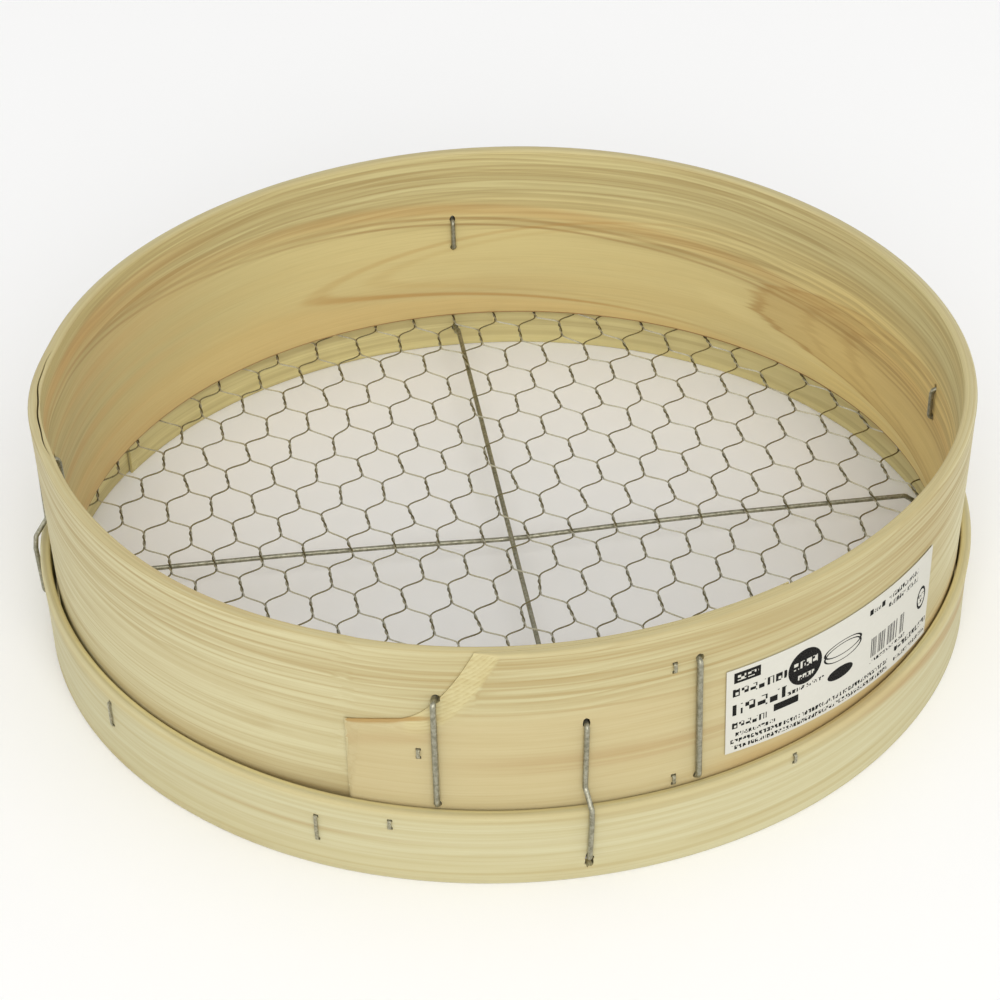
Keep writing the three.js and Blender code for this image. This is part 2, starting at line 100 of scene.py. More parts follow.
EDGE_FRONT, EDGE_BACK = 2.2, 1.3                 # how far the rim is rounded outside
EDGE_IN, EDGE_FOOT = 1.2, 0.7
BAND_EDGE_OUT, BAND_EDGE_IN, BAND_EDGE_FOOT = 1.7, 0.8, 1
BEVEL_WIDTH, LEDGE_BEVEL, BEVEL_EDGE = 9, 1.6, 0.5   # shaved strip along the ogee
TIP_BEVEL = 5
WIRE = 0.66                                      # netting wire
TWIST_TURNS = 1.5
FOLD_UP = 9                                      # how far the netting's edge runs up between the rings
NET_LEAN = -2.8                                  # degrees that its twisted pairs lean
SHIFT, LIFT, TURN, PHASE = 0.4, 0.15, 0.05, 0.5  # how unevenly it is woven
BEND = 2.1                                       # radius of the rods' and stitches' bends
OUTER_WOOD, INNER_WOOD = (184, 176, 136), (207, 192, 136)
BAND_OUTER_WOOD, BAND_INNER_WOOD = (190, 185, 149), (218, 206, 148)
FLAME_TIP, FLAME_LENGTH = 0.134, 0.038           # a figure in the wood, along the hoop's board
FLAME_HEIGHT, FLAME_HALF = 0.0465, 0.0156
ARCH_TIP, ARCH_HEIGHT = 0.34, 0.0404
SPLIT_FROM, SPLIT_TO = 166, 190                  # crack along the rim on the left
SPLIT_DEPTH, SPLIT_WIDTH, SPLIT_IN = 15, 0.7, 3.5


def middle_of(node, axis):
    low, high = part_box(node)
    return (low[axis] + high[axis]) / 2


# The CAD centres its footprint, so everything made here moves by the same small step.
SLANT_X = (ROD_ENDS["front"][1] - ROD_ENDS["back"][1]) / 2
SLANT_Y = (ROD_ENDS["right"][1] - ROD_ENDS["left"][2]) / 2
CENTRE = Vector((
    middle_of("support_rod_fore_aft", 0) - SLANT_X * MM,
    middle_of("support_rod_crosswise", 1) - SLANT_Y * MM,
    0,
))


# ---- the two rings, as in the CAD ----

def lerp(a, b, t):
    return a + (b - a) * t


def smooth(x, low, high):
    t = min(max((x - low) / (high - low), 0), 1)
    return t * t * (3 - 2 * t)


def wavy(waves, angle):
    return sum(high * math.cos(math.radians(lobes * (angle - where))) for lobes, high, where in waves)


def out_of_round(angle, z):
    from_kink = (angle - KINK_ANGLE + 180) % 360 - 180
    kink = KINK * max(0, 1 - (from_kink / KINK_REACH) ** 2) ** 2
    share = (z - HOOP_BASE) / HOOP_HEIGHT
    return lerp(wavy(FOOT_WAVES, angle), wavy(RIM_WAVES, angle) + kink, share)


def hoop_thickness(angle):
    if angle < HEEL_ANGLE:
        return lerp(TONGUE_TIP, HOOP_THICKNESS, (angle - TONGUE_ANGLE) / (HEEL_ANGLE - TONGUE_ANGLE))
    if angle > TONGUE_ANGLE + 360:
        under = (angle - 360 - TONGUE_ANGLE) / (HEEL_ANGLE - TONGUE_ANGLE)
        return lerp(HOOP_THICKNESS, HEEL_TIP, under)
    return HOOP_THICKNESS


def hoop_outer(angle, z):
    if angle > TONGUE_ANGLE + 360:
        return hoop_outer(angle - 360, z) - hoop_thickness(angle - 360) - LAP_GAP
    leaving = 1 - smooth(angle, HEEL_ANGLE, HEEL_ANGLE + LAP_BLEND)
    entering = smooth(angle, TONGUE_ANGLE + 360 - LAP_BLEND, TONGUE_ANGLE + 360)
    dip = TONGUE_TIP + FIT - LAP_SWELL
    return HOOP_RADIUS + out_of_round(angle, z) + LAP_SWELL * leaving - dip * entering


def turned(angle):
    return (angle - TONGUE_ANGLE) % 360 + TONGUE_ANGLE


def facing_angle(facing, aside):
    return facing + math.degrees(math.asin(aside / HOOP_RADIUS))


def hoop_face(angle, z):
    return hoop_outer(turned(angle), z)


def hoop_back(angle, z):
    last = turned(angle)
    if last < HEEL_ANGLE:
        last += 360
    return hoop_outer(last, z) - hoop_thickness(last)


def band_top(angle):
    return BAND_HEIGHT + BAND_WAVE * math.cos(math.radians(2 * (angle - 6)))


def band_seat(angle, z):
    turn = (angle - TONGUE_ANGLE) % 360
    beside = 1 - smooth(360 - turn, 0, LAP_BLEND)
    return hoop_face(angle, max(z, HOOP_BASE)) + (TONGUE_TIP + FIT) * beside


def band_inner(angle, z):
    off = (1 + math.cos(math.radians(angle - BAND_GAP_ANGLE))) / 2
    lean = BAND_LEAN * (2 * (z - HOOP_BASE) / BAND_HEIGHT + 0.1)
    return band_seat(angle, z) + FIT + BAND_GAP * off ** 8 + lean


def band_thickness(angle):
    lap = BAND_HEEL_ANGLE - BAND_TONGUE_ANGLE
    if angle < BAND_HEEL_ANGLE:
        return lerp(BAND_TIP, BAND_THICKNESS, (angle - BAND_TONGUE_ANGLE) / lap)
    if angle > BAND_TONGUE_ANGLE + 360:
        return lerp(BAND_THICKNESS, BAND_TIP, (angle - 360 - BAND_TONGUE_ANGLE) / lap)
    return BAND_THICKNESS


def band_outer(angle, z):
    if angle > BAND_TONGUE_ANGLE + 360:
        return band_inner(angle, z) + band_thickness(angle)
    if angle < BAND_HEEL_ANGLE:
        over = band_thickness(angle + 360) + FIT
    else:
        over = (BAND_TIP + FIT) * (1 - smooth(angle, BAND_HEEL_ANGLE, BAND_HEEL_ANGLE + LAP_BLEND))
    return band_inner(angle, z) + over + band_thickness(angle)


def band_face(angle, z):
    return band_outer((angle - BAND_TONGUE_ANGLE) % 360 + BAND_TONGUE_ANGLE, z)


def ogee_height(angle):
    along = math.radians(angle - TONGUE_ANGLE) * HOOP_RADIUS
    if along < OGEE_LEDGE:
        return HOOP_BASE + lerp(OGEE_LEDGE_LOW, OGEE_LEDGE_HIGH, along / OGEE_LEDGE)
    sweep = min((along - OGEE_LEDGE) / (OGEE_LENGTH - OGEE_LEDGE), 1)
    return HOOP_BASE + lerp(OGEE_LEDGE_HIGH, HOOP_HEIGHT, sweep ** OGEE_SWEEP)


# ---- making meshes ----

def at(angle, radius, z):
    return Vector((radius * math.cos(math.radians(angle)), radius * math.sin(math.radians(angle)), z))


def bare(name, points, faces):
    """An object from points in millimetres."""
    mesh = bpy.data.meshes.new(name)
    mesh.from_pydata([tuple(c * MM for c in p) for p in points], [], faces)
    mesh.validate()
    made = bpy.data.objects.new(name, mesh)
    bpy.context.collection.objects.link(made)
    made.location = CENTRE
    shell = bmesh.new()
    shell.from_mesh(mesh)
    bmesh.ops.recalc_face_normals(shell, faces=shell.faces)
    shell.to_mesh(mesh)
    shell.free()
    return made


def piece(name, points, faces, material, node, sharp=40, cutters=()):
    """A piece of the sieve, standing for one CAD node."""
    made = bare(name, points, faces)
    if cutters:
        carve(made, cutters)
    made.data.materials.clear()
    made.data.materials.append(material)
    made.data.shade_smooth()
    made.data.set_sharp_from_angle(angle=math.radians(sharp))
    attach(made, "root")
    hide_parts(node)
    return made


def loft(rings):
    """Points and faces of a closed body through rings of equally many points."""
    count, sides = len(rings), len(rings[0])
    points = [p for ring in rings for p in ring]
    faces = [tuple(range(sides))[::-1], tuple(range((count - 1) * sides, count * sides))]
    for i in range(count - 1):
        for k in range(sides):
            m = (k + 1) % sides
            faces.append((i * sides + k, i * sides + m, (i + 1) * sides + m, (i + 1) * sides + k))
    return points, faces


def arc(centre, radius, start, stop, steps=4):
    turns = [math.radians(lerp(start, stop, k / steps)) for k in range(steps + 1)]
    return [(centre[0] + radius * math.cos(t), centre[1] + radius * math.sin(t)) for t in turns]


def section(outer, inner, low, high, edges, rows):
    """A board's section as (radius, z), outside up, over the top, inside down and under."""
    out_top, in_top, in_foot, out_foot = edges
    thick_top = (outer(high) - inner(high)) * 0.48
    thick_foot = (outer(low) - inner(low)) * 0.48
    out_top, in_top = min(out_top, thick_top), min(in_top, thick_top)
    in_foot, out_foot = min(in_foot, thick_foot), min(out_foot, thick_foot)
    span = high - low
    heights = sorted(low + out_foot + (span - out_foot - out_top) * row for row in rows)
    points = [(outer(z), z) for z in heights[:-1]]
    points += arc((outer(high) - out_top, high - out_top), out_top, 0, 90)
    points += arc((inner(high) + in_top, high - in_top), in_top, 90, 180)
    steps = 8
    for k in range(1, steps):
        z = lerp(high - in_top, low + in_foot, k / steps)
        points.append((inner(z), z))
    points += arc((inner(low) + in_foot, low + in_foot), in_foot, 180, 270)
    points += arc((outer(low) - out_foot, low + out_foot), out_foot, 270, 355)
    return points


def carve(body, cutters):
    """Cuts lists of (points, faces) out of a piece."""
    cutter = bare("cutter", *join(cutters))
    bite = body.modifiers.new("bite", "BOOLEAN")
    bite.object = cutter
    bite.operation = "DIFFERENCE"
    bite.solver = "EXACT"
    graph = bpy.context.evaluated_depsgraph_get()
    cut = bpy.data.meshes.new_from_object(body.evaluated_get(graph))
    body.modifiers.clear()
    body.data = cut
    bpy.data.objects.remove(cutter)


def beside(facing, far, aside, z):
    """A point so far out the way something faces, and so far beside that line."""
    c, s = math.cos(math.radians(facing)), math.sin(math.radians(facing))
    return Vector((far * c - aside * s, far * s + aside * c, z))


def bore(facing, aside, near, far, z, width, height, flare=1, ragged=0):
    """A hole along the way something faces, as wide and high as given, opening outwards."""
    rings = []
    sides = 16
    rough = [1 + ragged * rng.uniform(-1, 1) for _ in range(sides)]
    for out, size in ((near, 1), (lerp(near, far, 0.5), 1), (far, flare)):
        turns = [2 * math.pi * k / sides for k in range(sides)]
        ring = [(math.cos(t) * size * r, math.sin(t) * size * r) for t, r in zip(turns, rough)]
        rings.append([beside(facing, out, aside + width / 2 * x, z + height / 2 * y) for x, y in ring])
    return loft(rings)


def join(parts):
    """Merges lists of (points, faces) into one."""
    points, faces = [], []
    for more, sides in parts:
        start = len(points)
        points += more
        faces += [tuple(i + start for i in face) for face in sides]
    return points, faces


def tube(path, radius, sides=10):
    """Points and faces of a wire along a path of Vectors, its section carried without twist."""
    count = len(path)
    ahead = [(path[min(i + 1, count - 1)] - path[max(i - 1, 0)]).normalized() for i in range(count)]
    across = ahead[0].orthogonal().normalized()
    rings = []
    for i in range(count):
        across = (across - ahead[i] * across.dot(ahead[i])).normalized()
        beside = ahead[i].cross(across)
        turns = [2 * math.pi * k / sides for k in range(sides)]
        rings.append([path[i] + (across * math.cos(t) + beside * math.sin(t)) * radius for t in turns])
    return loft(rings)


def rounded(corners, radius, steps=6, straight=6):
    """A path through corners with each one rounded off, and the straights divided."""
    path = [corners[0]]
    for i in range(1, len(corners) - 1):
        before, corner, after = corners[i - 1:i + 2]
        back, on = before - corner, after - corner
        turn = math.pi - back.angle(on)
        trim = min(radius * math.tan(turn / 2), back.length * 0.45, on.length * 0.45)
        start, stop = corner + back.normalized() * trim, corner + on.normalized() * trim
        divide(path, start, straight)
        for k in range(1, steps + 1):
            t = k / steps
            path.append(start * (1 - t) ** 2 + corner * 2 * t * (1 - t) + stop * t * t)
    divide(path, corners[-1], straight)
    return path


def divide(path, end, straight):
    start = path[-1]
    parts = max(1, round((end - start).length / straight))
    path += [start.lerp(end, k / parts) for k in range(1, parts + 1)]


# ---- materials ----

class Nodes:
    """A material's node tree, with short ways to add what the sieve's materials use."""

    def __init__(self, name, **shader):
        self.material = bpy.data.materials.new(name)
        self.material.use_nodes = True
        self.tree = self.material.node_tree
        self.shader = self.tree.nodes["Principled BSDF"]
        for socket, value in shader.items():
            self.shader.inputs[socket.replace("_", " ")].default_value = value

    def add(self, kind, settings=(), **inputs):
        node = self.tree.nodes.new(kind)
        for name, value in dict(settings).items():
            setattr(node, name, value)
        for name, value in inputs.items():
            self.feed(node.inputs[name.replace("_", " ")], value)
        return node

    def feed(self, socket, value):
        if isinstance(value, bpy.types.NodeSocket):
            self.tree.links.new(value, socket)
        else:
            socket.default_value = value

    def math(self, operation, *values):
        node = self.tree.nodes.new("ShaderNodeMath")
        node.operation = operation
        for socket, value in zip(node.inputs, values):
            self.feed(socket, value)
        return node.outputs[0]

    def chain(self, operation, first, *more):
        """Takes any number of values together, two at a time."""
        for value in more:
            first = self.math(operation, first, value)
        return first

    def plus(self, *values):
        return self.chain("ADD", *values)

    def minus(self, *values):
        return self.chain("SUBTRACT", *values)

    def times(self, *values):
        return self.chain("MULTIPLY", *values)

    def divide(self, *values):
        return self.chain("DIVIDE", *values)

    def most(self, *values):
        return self.chain("MAXIMUM", *values)

    def vector(self, *values):
        node = self.tree.nodes.new("ShaderNodeCombineXYZ")
        for socket, value in zip(node.inputs, values):
            self.feed(socket, value)
        return node.outputs[0]

    def noise(self, vector, scale=1, detail=3, roughness=0.5):
        return self.add("ShaderNodeTexNoise", Vector=vector, Scale=scale, Detail=detail,
                        Roughness=roughness).outputs["Fac"]

    def remap(self, value, low, high, to_low=0, to_high=1, kind="LINEAR"):
        node = self.add("ShaderNodeMapRange", {"interpolation_type": kind})
        for socket, setting in zip(node.inputs, (value, low, high, to_low, to_high)):
            self.feed(socket, setting)
        return node.outputs[0]

    def ease(self, *settings):
        return self.remap(*settings, kind="SMOOTHSTEP")

    def near(self, value, centre, half, soft):
        """1 within half of the centre, falling softly to 0."""
        off = self.math("ABSOLUTE", self.minus(value, centre))
        return self.ease(off, half, half + soft, 1, 0)

    def within(self, x, y, left, right, low, high):
        """1 inside a rectangle and 0 outside it."""
        across = self.math("COMPARE", x, (left + right) / 2, (right - left) / 2)
        return self.times(across, self.math("COMPARE", y, (low + high) / 2, (high - low) / 2))

    def mix(self, share, first, second):
        node = self.add("ShaderNodeMix", {"data_type": "RGBA"})
        for socket, value in zip((node.inputs[0], node.inputs[6], node.inputs[7]), (share, first, second)):
            self.feed(socket, value)
        return node.outputs[2]

    def tint(self, share, color, tone):
        return self.mix(share, color, linear(tone))

    def bump(self, height, distance, strength=1):
        bump = self.add("ShaderNodeBump", Height=height, Distance=distance, Strength=strength)
        self.feed(self.shader.inputs["Normal"], bump.outputs[0])


def linear(color):
    """An sRGB colour of three numbers up to 255, as Blender's linear RGBA."""
    parts = [c / 255 for c in color]
    return tuple(c / 12.92 if c <= 0.04045 else ((c + 0.055) / 1.055) ** 2.4 for c in parts) + (1,)


def shade(color, *parts):
    return tuple(min(255, c * part) for c, part in zip(color, parts))


class Wood(Nodes):
    """Flat-sawn softwood as a solid: growth rings round a pith line that runs along the board.

    The grain attribute holds the length along the board, the depth below its outer face
    and the height, in metres.
    """

    def __init__(self, name):
        super().__init__(name, Roughness=0.55, Specular_IOR_Level=0.25)
        laid = self.add("ShaderNodeAttribute", {"attribute_name": "grain"}).outputs["Vector"]
        self.along, self.depth, self.height = self.add("ShaderNodeSeparateXYZ", Vector=laid).outputs

    def stretched(self, along, depth, height, detail=2, roughness=0.5):
        """Noise drawn out along the board, by how often it varies each way in a metre."""
        place = self.vector(*(self.times(part, often) for part, often in
                              zip((self.along, self.depth, self.height), (along, depth, height))))
        return self.noise(place, 1, detail, roughness)

    def stain(self, tone, *shares):
        """Lays a tone over the colour so far, as strongly as the product of the shares."""
        self.color = self.tint(self.times(*shares), self.color, tone)

    def rings(self, pith_high, pith_deep, wander, spacing):
        """How dark the growth rings are at a place, from 0 to 1."""
        slow = self.stretched(5, 0, 0)
        slower = self.stretched(2.3, 0, 0, 1)
        waver = self.stretched(22, 30, 70, 3)
        centre = self.plus(pith_high, self.times(self.minus(slow, 0.5), wander))
        over = self.minus(self.height, centre)
        deep = self.plus(pith_deep, self.times(self.minus(slower, 0.5), wander * 0.6))
        under = self.minus(deep, self.depth)
        far = self.math("SQRT", self.plus(self.times(over, over), self.times(under, under)))
        far = self.plus(far, self.times(waver, 0.0016))
        years = self.divide(far, spacing)
        uneven = self.noise(self.vector(years, 3, 0), 0.8, 1)
        years = self.plus(years, self.times(uneven, 1.6))
        year = self.math("FRACT", years)
        late = self.times(self.ease(year, 0.15, 0.82, 0, 1), self.ease(year, 0.86, 1, 1, 0))
        weight = self.noise(self.vector(self.math("FLOOR", years), 0, self.times(self.along, 5)), 3.7, 1)
        return self.times(late, self.remap(weight, 0.3, 0.7, 0.15, 1))

    def finish(self, late, fibre):
        self.feed(self.shader.inputs["Base Color"], self.color)
        self.feed(self.shader.inputs["Roughness"], self.remap(fibre, 0.3, 0.7, 0.66, 0.5))
        self.bump(self.plus(self.times(fibre, 0.6), self.times(late, 0.4)), 0.0001, 0.45)
        return self.material


def hoop_wood():
    n = Wood("hoop_wood")
    inside = n.ease(n.depth, 0.0018, 0.0034, 0, 1)
    outside = n.minus(1, inside)
    late = n.rings(0.052, 0.03, 0.018, 0.0019)
    fibre = n.stretched(45, 1800, 1800, 3, 0.6)
    lines = n.stretched(3.2, 1300, 330, 2, 0.5)
    hair = n.stretched(6, 2600, 950, 2, 0.6)
    soft = n.stretched(3.2, 60, 75)
    patch = n.stretched(7, 10, 22, 1)
    veins = n.times(n.near(n.stretched(2.6, 500, 190, 1), 0.5, 0.01, 0.035), n.remap(patch, 0.35, 0.6, 0.35, 1))
    n.color = n.mix(inside, linear(OUTER_WOOD), linear(INNER_WOOD))
    # inside it is greener near the rim, darker at the left with painted shade and clearer at the right
    high = n.times(n.ease(n.height, 0.064, 0.084, 0, 0.8), inside)
    n.stain(shade(INNER_WOOD, 0.95, 0.98, 1.02), high)
    # painted shade: the inner left wall is darkened, as it gets little light from the side
    dull = n.times(n.near(n.along, 0.5, 0.06, 0.12), inside, n.remap(n.height, 0.03, 0.045, 0.3, 1))
    n.stain(shade(INNER_WOOD, 0.92, 0.93, 0.93), dull)
    clear = n.times(n.near(n.along, 0.02, 0.05, 0.06), inside, n.remap(n.height, 0.06, 0.08, 1, 0))
    n.stain(shade(INNER_WOOD, 1.1, 1.07, 1), clear)
    n.stain(shade(OUTER_WOOD, 0.93, 0.89, 0.82), n.ease(soft, 0.42, 0.68, 0, 0.36), outside)
    n.stain(shade(INNER_WOOD, 0.94, 0.89, 0.83), n.ease(soft, 0.42, 0.68, 0, 0.4), inside)
    n.stain(shade(OUTER_WOOD, 1, 0.94, 0.9), n.ease(patch, 0.45, 0.75, 0, 0.3))
    # a paler patch outside at the front-left, and painted light on the outer right side
    pale_patch_and_painted_light = n.most(n.times(n.near(n.along, 0.655, 0.06, 0.08), 0.5), n.near(n.along, -0.02, 0.04, 0.06))
    n.stain(shade(OUTER_WOOD, 1.1, 1.12, 1.17), pale_patch_and_painted_light, outside)
    # inside, the grain slants down to the right, its middle is plain and its lines crowd near the rim
    slant = n.times(n.remap(n.along, 0.05, 0.5, -0.0228, 0.011), inside)
    level = n.minus(n.height, slant)
    edge = n.most(n.remap(level, 0.066, 0.074, 0.12, 1.9), n.remap(n.height, 0.024, 0.032, 0.45, 0.12))
    edge = n.most(edge, n.near(n.along, 0.6, 0.08, 0.1))
    crowd = n.most(outside, edge)
    line_tone = shade(OUTER_WOOD, 0.85, 0.77, 0.64)
    n.stain(line_tone, late, crowd, 0.3)
    n.stain(line_tone, veins, crowd, 0.38)
    n.stain(line_tone, n.ease(lines, 0.47, 0.68, 0, 0.22), crowd)
    n.stain(line_tone, n.remap(hair, 0.5, 0.72, 0, 0.3), n.remap(crowd, 0, 1, 0.3, 1))
    blush = n.times(n.ease(n.stretched(2, 30, 120, 1), 0.45, 0.58, 0, 0.4),
                    n.near(n.along, 0.57, 0.09, 0.12), inside)
    n.stain(shade(INNER_WOOD, 0.97, 0.83, 0.76), blush)
    # the tongue is a pinker stretch of the board, which pales to the right
    tongue = n.times(n.near(n.along, -0.32, 0.05, 0.12), outside, n.ease(n.height, 0.068, 0.079, 1, 0))
    n.stain(shade(OUTER_WOOD, 1.01, 0.96, 0.93), tongue, 0.5)
    blot = n.times(n.near(n.along, -0.262, 0.02, 0.05), outside, n.near(n.height, 0.051, 0.001, 0.006))
    n.stain(shade(OUTER_WOOD, 0.84, 0.7, 0.55), blot, n.remap(lines, 0.35, 0.6, 0.1, 0.5))
    low = n.times(n.near(n.along, -0.12, 0.08, 0.05), outside, n.ease(n.height, 0.032, 0.043, 1, 0))
    n.stain(shade(OUTER_WOOD, 0.98, 0.82, 0.64), low, 0.5)
    # where the tongue is shaved, fresh wood shows paler, partly as painted light on the slanted facet, with its
    # rings cut slantwise
    shave = n.times(n.remap(n.depth, 0.00012, 0.0004, 0, 1), outside, n.near(n.along, -0.312, 0.019, 0.004),
                    n.remap(n.height, 0.062, 0.068, 0, 1))
    n.stain(shade(OUTER_WOOD, 1.07, 1.06, 1.02), shave, 0.6)
    cut = n.plus(n.plus(n.depth, n.times(n.height, 0.1)), n.times(n.stretched(60, 0, 120, 2), 0.0005))
    nested = n.remap(n.math("FRACT", n.divide(cut, 0.00037)), 0.35, 1)
    n.stain(shade(OUTER_WOOD, 0.82, 0.71, 0.52), shave, nested, n.remap(hair, 0.35, 0.6, 0.1, 0.4))
    rise = n.times(n.plus(n.along, 0.354), 0.15)
    ledge = n.minus(n.height, rise)
    tip = n.times(n.near(n.along, -0.345, 0.014, 0.016), outside)
    n.stain(shade(OUTER_WOOD, 0.84, 0.66, 0.38), n.near(ledge, 0.0662, 0.0004, 0.0009), tip, 0.7)
    n.stain(shade(OUTER_WOOD, 0.86, 0.7, 0.54), n.near(ledge, 0.0585, 0.0006, 0.004), tip, 0.22)
    # the other end of the board runs under it, stained down where the foot band starts
    under = n.times(n.near(n.along, 0.71, 0.03, 0.09), outside, n.ease(n.height, 0.03, 0.046, 1, 0))
    n.stain(shade(OUTER_WOOD, 0.82, 0.68, 0.46), under, 0.36)
    # inside: an orange streak below the rim with brown lines under it
    drift = n.times(n.minus(n.stretched(6, 0, 0, 1), 0.5), 0.006)
    level = n.minus(level, drift)
    here = n.remap(n.stretched(6, 0, 0, 1), 0.35, 0.6, 0.4, 1)
    n.stain(shade(INNER_WOOD, 0.9, 0.74, 0.6), n.near(level, 0.0768, 0.0008, 0.0036), inside, here, 0.4)
    n.stain(shade(INNER_WOOD, 0.72, 0.58, 0.43), n.near(level, 0.0725, 0.0002, 0.0011), inside, here, 0.5)
    n.stain(shade(INNER_WOOD, 0.7, 0.56, 0.42), n.near(level, 0.0695, 0.0001, 0.0009), inside, here, 0.55)
    cathedral(n, inside, here)
    flame(n, inside)
    # painted shade: a dark red-brown line along the inside of the hoop's lower edge, in the gap above the foot
    # band
    foot = n.times(n.remap(n.height, 0.0195, 0.0198, 1, 0), inside, n.remap(n.along, 0.1, 0.2, 0.9, 0.65))
    n.stain(shade(INNER_WOOD, 0.62, 0.4, 0.28), foot)
    crest = n.remap(n.height, (RIM - 1) * MM, (RIM - 0.2) * MM, 0, 0.55)
    n.stain(shade(OUTER_WOOD, 1.07, 1.05, 1.02), crest)
    n.stain(line_tone, n.remap(fibre, 0.3, 0.75, 0.16, 0))
    holes = [(facing, hook, z) for facing, _, hook, _ in ROD_ENDS.values() for z in (ROD_HOOK, ROD_HOOK - CLINCH)]
    # painted shade: the walls inside the rods' holes are darkened
    painted_hole_shade = n.times(n.near(n.depth, 0.0026, 0.0018, 0.0003), pierced(n, holes))
    n.stain((46, 32, 18), painted_hole_shade, 0.85)
    late = n.plus(n.times(late, 0.5), n.times(lines, 0.5))
    return n.finish(late, fibre)


def arch(n, tip, height, rise, half, length, power):
    """How far a place lies inside an arch of the grain along the board, and how far above its middle."""
    inward = n.minus(tip, n.along)
    over = n.minus(n.minus(n.height, height), n.times(inward, rise))
    flare = n.math("POWER", n.divide(n.math("ABSOLUTE", over), half), power)
    return n.minus(inward, n.times(flare, length)), over


def cathedral(n, inside, here):
    """The pale arch at the back of the sieve, with warmer wood below it."""
    reach, over = arch(n, ARCH_TIP, ARCH_HEIGHT, 0.04, 0.013, 0.063, 1.67)
    there = n.times(inside, n.remap(n.along, 0.12, 0.2, 0, 1))
    under = n.math("LESS_THAN", over, 0)
    warm = n.times(inside, n.remap(n.height, 0.026, 0.05, 0.5, 0), n.remap(reach, -0.03, 0, 1, 0.15))
    n.stain(shade(INNER_WOOD, 1.03, 0.95, 0.87), warm)
    line = n.times(n.near(reach, 0, 0.002, 0.009), there, here, n.remap(under, 0, 1, 0.32, 0.6))
    n.stain(shade(INNER_WOOD, 0.84, 0.67, 0.46), line)
    n.stain(shade(INNER_WOOD, 0.86, 0.74, 0.58), n.near(reach, 0.03, 0.001, 0.01), there, 0.18)


def flame(n, inside):
    """A darker flame of late wood at the right, with a ragged tip."""
    reach, over = arch(n, FLAME_TIP, FLAME_HEIGHT, 0, FLAME_HALF, FLAME_LENGTH, 3)
    reach = n.plus(reach, n.times(n.minus(n.stretched(20, 0, 520, 3), 0.5), 0.026))
    there = n.times(inside, n.remap(n.along, -0.09, 0, 0, 1), n.math("GREATER_THAN", n.along, -0.12))
    lower = n.remap(over, -0.003, 0.003, 1, 0.5)
    fill = n.times(there, n.remap(reach, -0.0005, 0.003, 0, 1), n.remap(reach, 0, 0.07, 0.36, 0.2))
    n.stain(shade(INNER_WOOD, 0.84, 0.7, 0.52), fill)
    brim = n.times(n.near(reach, 0.0022, 0.0012, 0.005), n.remap(n.along, 0, 0.09, 0.3, 0.42))
    arches = n.most(n.times(brim, lower), n.times(n.near(reach, 0.03, 0.0008, 0.005), 0.16))
    arches = n.most(arches, n.times(n.near(reach, 0.055, 0.001, 0.006), 0.2))
    n.stain(shade(INNER_WOOD, 0.72, 0.55, 0.36), there, arches)
    pale = n.times(n.near(reach, -0.018, 0.006, 0.011), n.remap(over, -0.006, 0, 1, 0), there, 0.4)
    n.stain(shade(INNER_WOOD, 1.05, 1.05, 1.06), pale)


def pierced(n, holes):
    """1 close to the holes, each given by the side it faces, its offset and its height."""
    here = 0
    half_turn = math.pi * HOOP_RADIUS * MM
    for facing, aside, height in holes:
        off = n.minus(n.along, math.radians(facing_angle(facing, aside)) * HOOP_RADIUS * MM)
        off = n.math("WRAP", off, half_turn, -half_turn)
        close = n.times(n.math("COMPARE", off, 0, 0.003), n.math("COMPARE", n.height, height * MM, 0.004))
        here = n.most(here, close)
    return here


def band_wood():
    n = Wood("band_wood")
    inside = n.ease(n.depth, 0.0012, 0.003, 0, 1)
    late = n.rings(0.002, 0.024, 0.012, 0.0021)
    fibre = n.stretched(45, 1800, 1800, 3, 0.6)
    lines = n.stretched(3, 900, 300, 2, 0.5)
    hair = n.stretched(7, 2600, 1150, 2, 0.6)
    soft = n.stretched(2.6, 60, 85)
    veins = n.times(n.near(n.stretched(2.2, 400, 210, 1), 0.5, 0.01, 0.035), n.remap(soft, 0.35, 0.6, 0.3, 1))
    n.color = n.mix(inside, linear(BAND_OUTER_WOOD), linear(BAND_INNER_WOOD))
    line_tone = shade(BAND_OUTER_WOOD, 0.87, 0.8, 0.67)
    n.stain(shade(BAND_OUTER_WOOD, 0.94, 0.91, 0.84), n.ease(soft, 0.42, 0.7, 0, 0.4))
    n.stain(line_tone, late, 0.3)
    n.stain(line_tone, veins, 0.34)
    n.stain(line_tone, n.ease(lines, 0.48, 0.68, 0, 0.26))
    n.stain(line_tone, n.remap(hair, 0.5, 0.72, 0, 0.22))
    # a warm streak runs down the board's right side
    slope = n.minus(n.height, n.times(n.minus(n.along, 1.0), -0.09))
    streak = n.times(n.near(slope, 0.0262, 0.001, 0.004), n.near(n.along, 1.04, 0.05, 0.12))
    n.stain(shade(BAND_OUTER_WOOD, 0.86, 0.7, 0.52), streak, 0.6)
    seam = n.times(n.near(n.height, 0.0185, 0.0002, 0.001), n.remap(n.stretched(5, 0, 0, 1), 0.45, 0.6, 0, 0.4))
    n.stain(shade(BAND_OUTER_WOOD, 0.82, 0.68, 0.5), seam)
    lip = n.times(n.remap(n.height, 0.029, 0.0322, 0, 0.4), n.remap(n.depth, 0.0002, 0.002, 1, 0))
    n.stain(shade(BAND_OUTER_WOOD, 1.04, 0.99, 0.88), lip)
    n.stain(line_tone, n.remap(fibre, 0.3, 0.75, 0.15, 0))
    holes = [(facing, foot, ROD_HOLE) for facing, foot, _, _ in ROD_ENDS.values()]
    # painted shade: the walls inside the rods' holes are darkened
    painted_hole_shade = n.times(n.near(n.depth, 0.002, 0.0013, 0.0003), pierced(n, holes))
    n.stain((46, 32, 18), painted_hole_shade, 0.85)
    return n.finish(late, fibre)


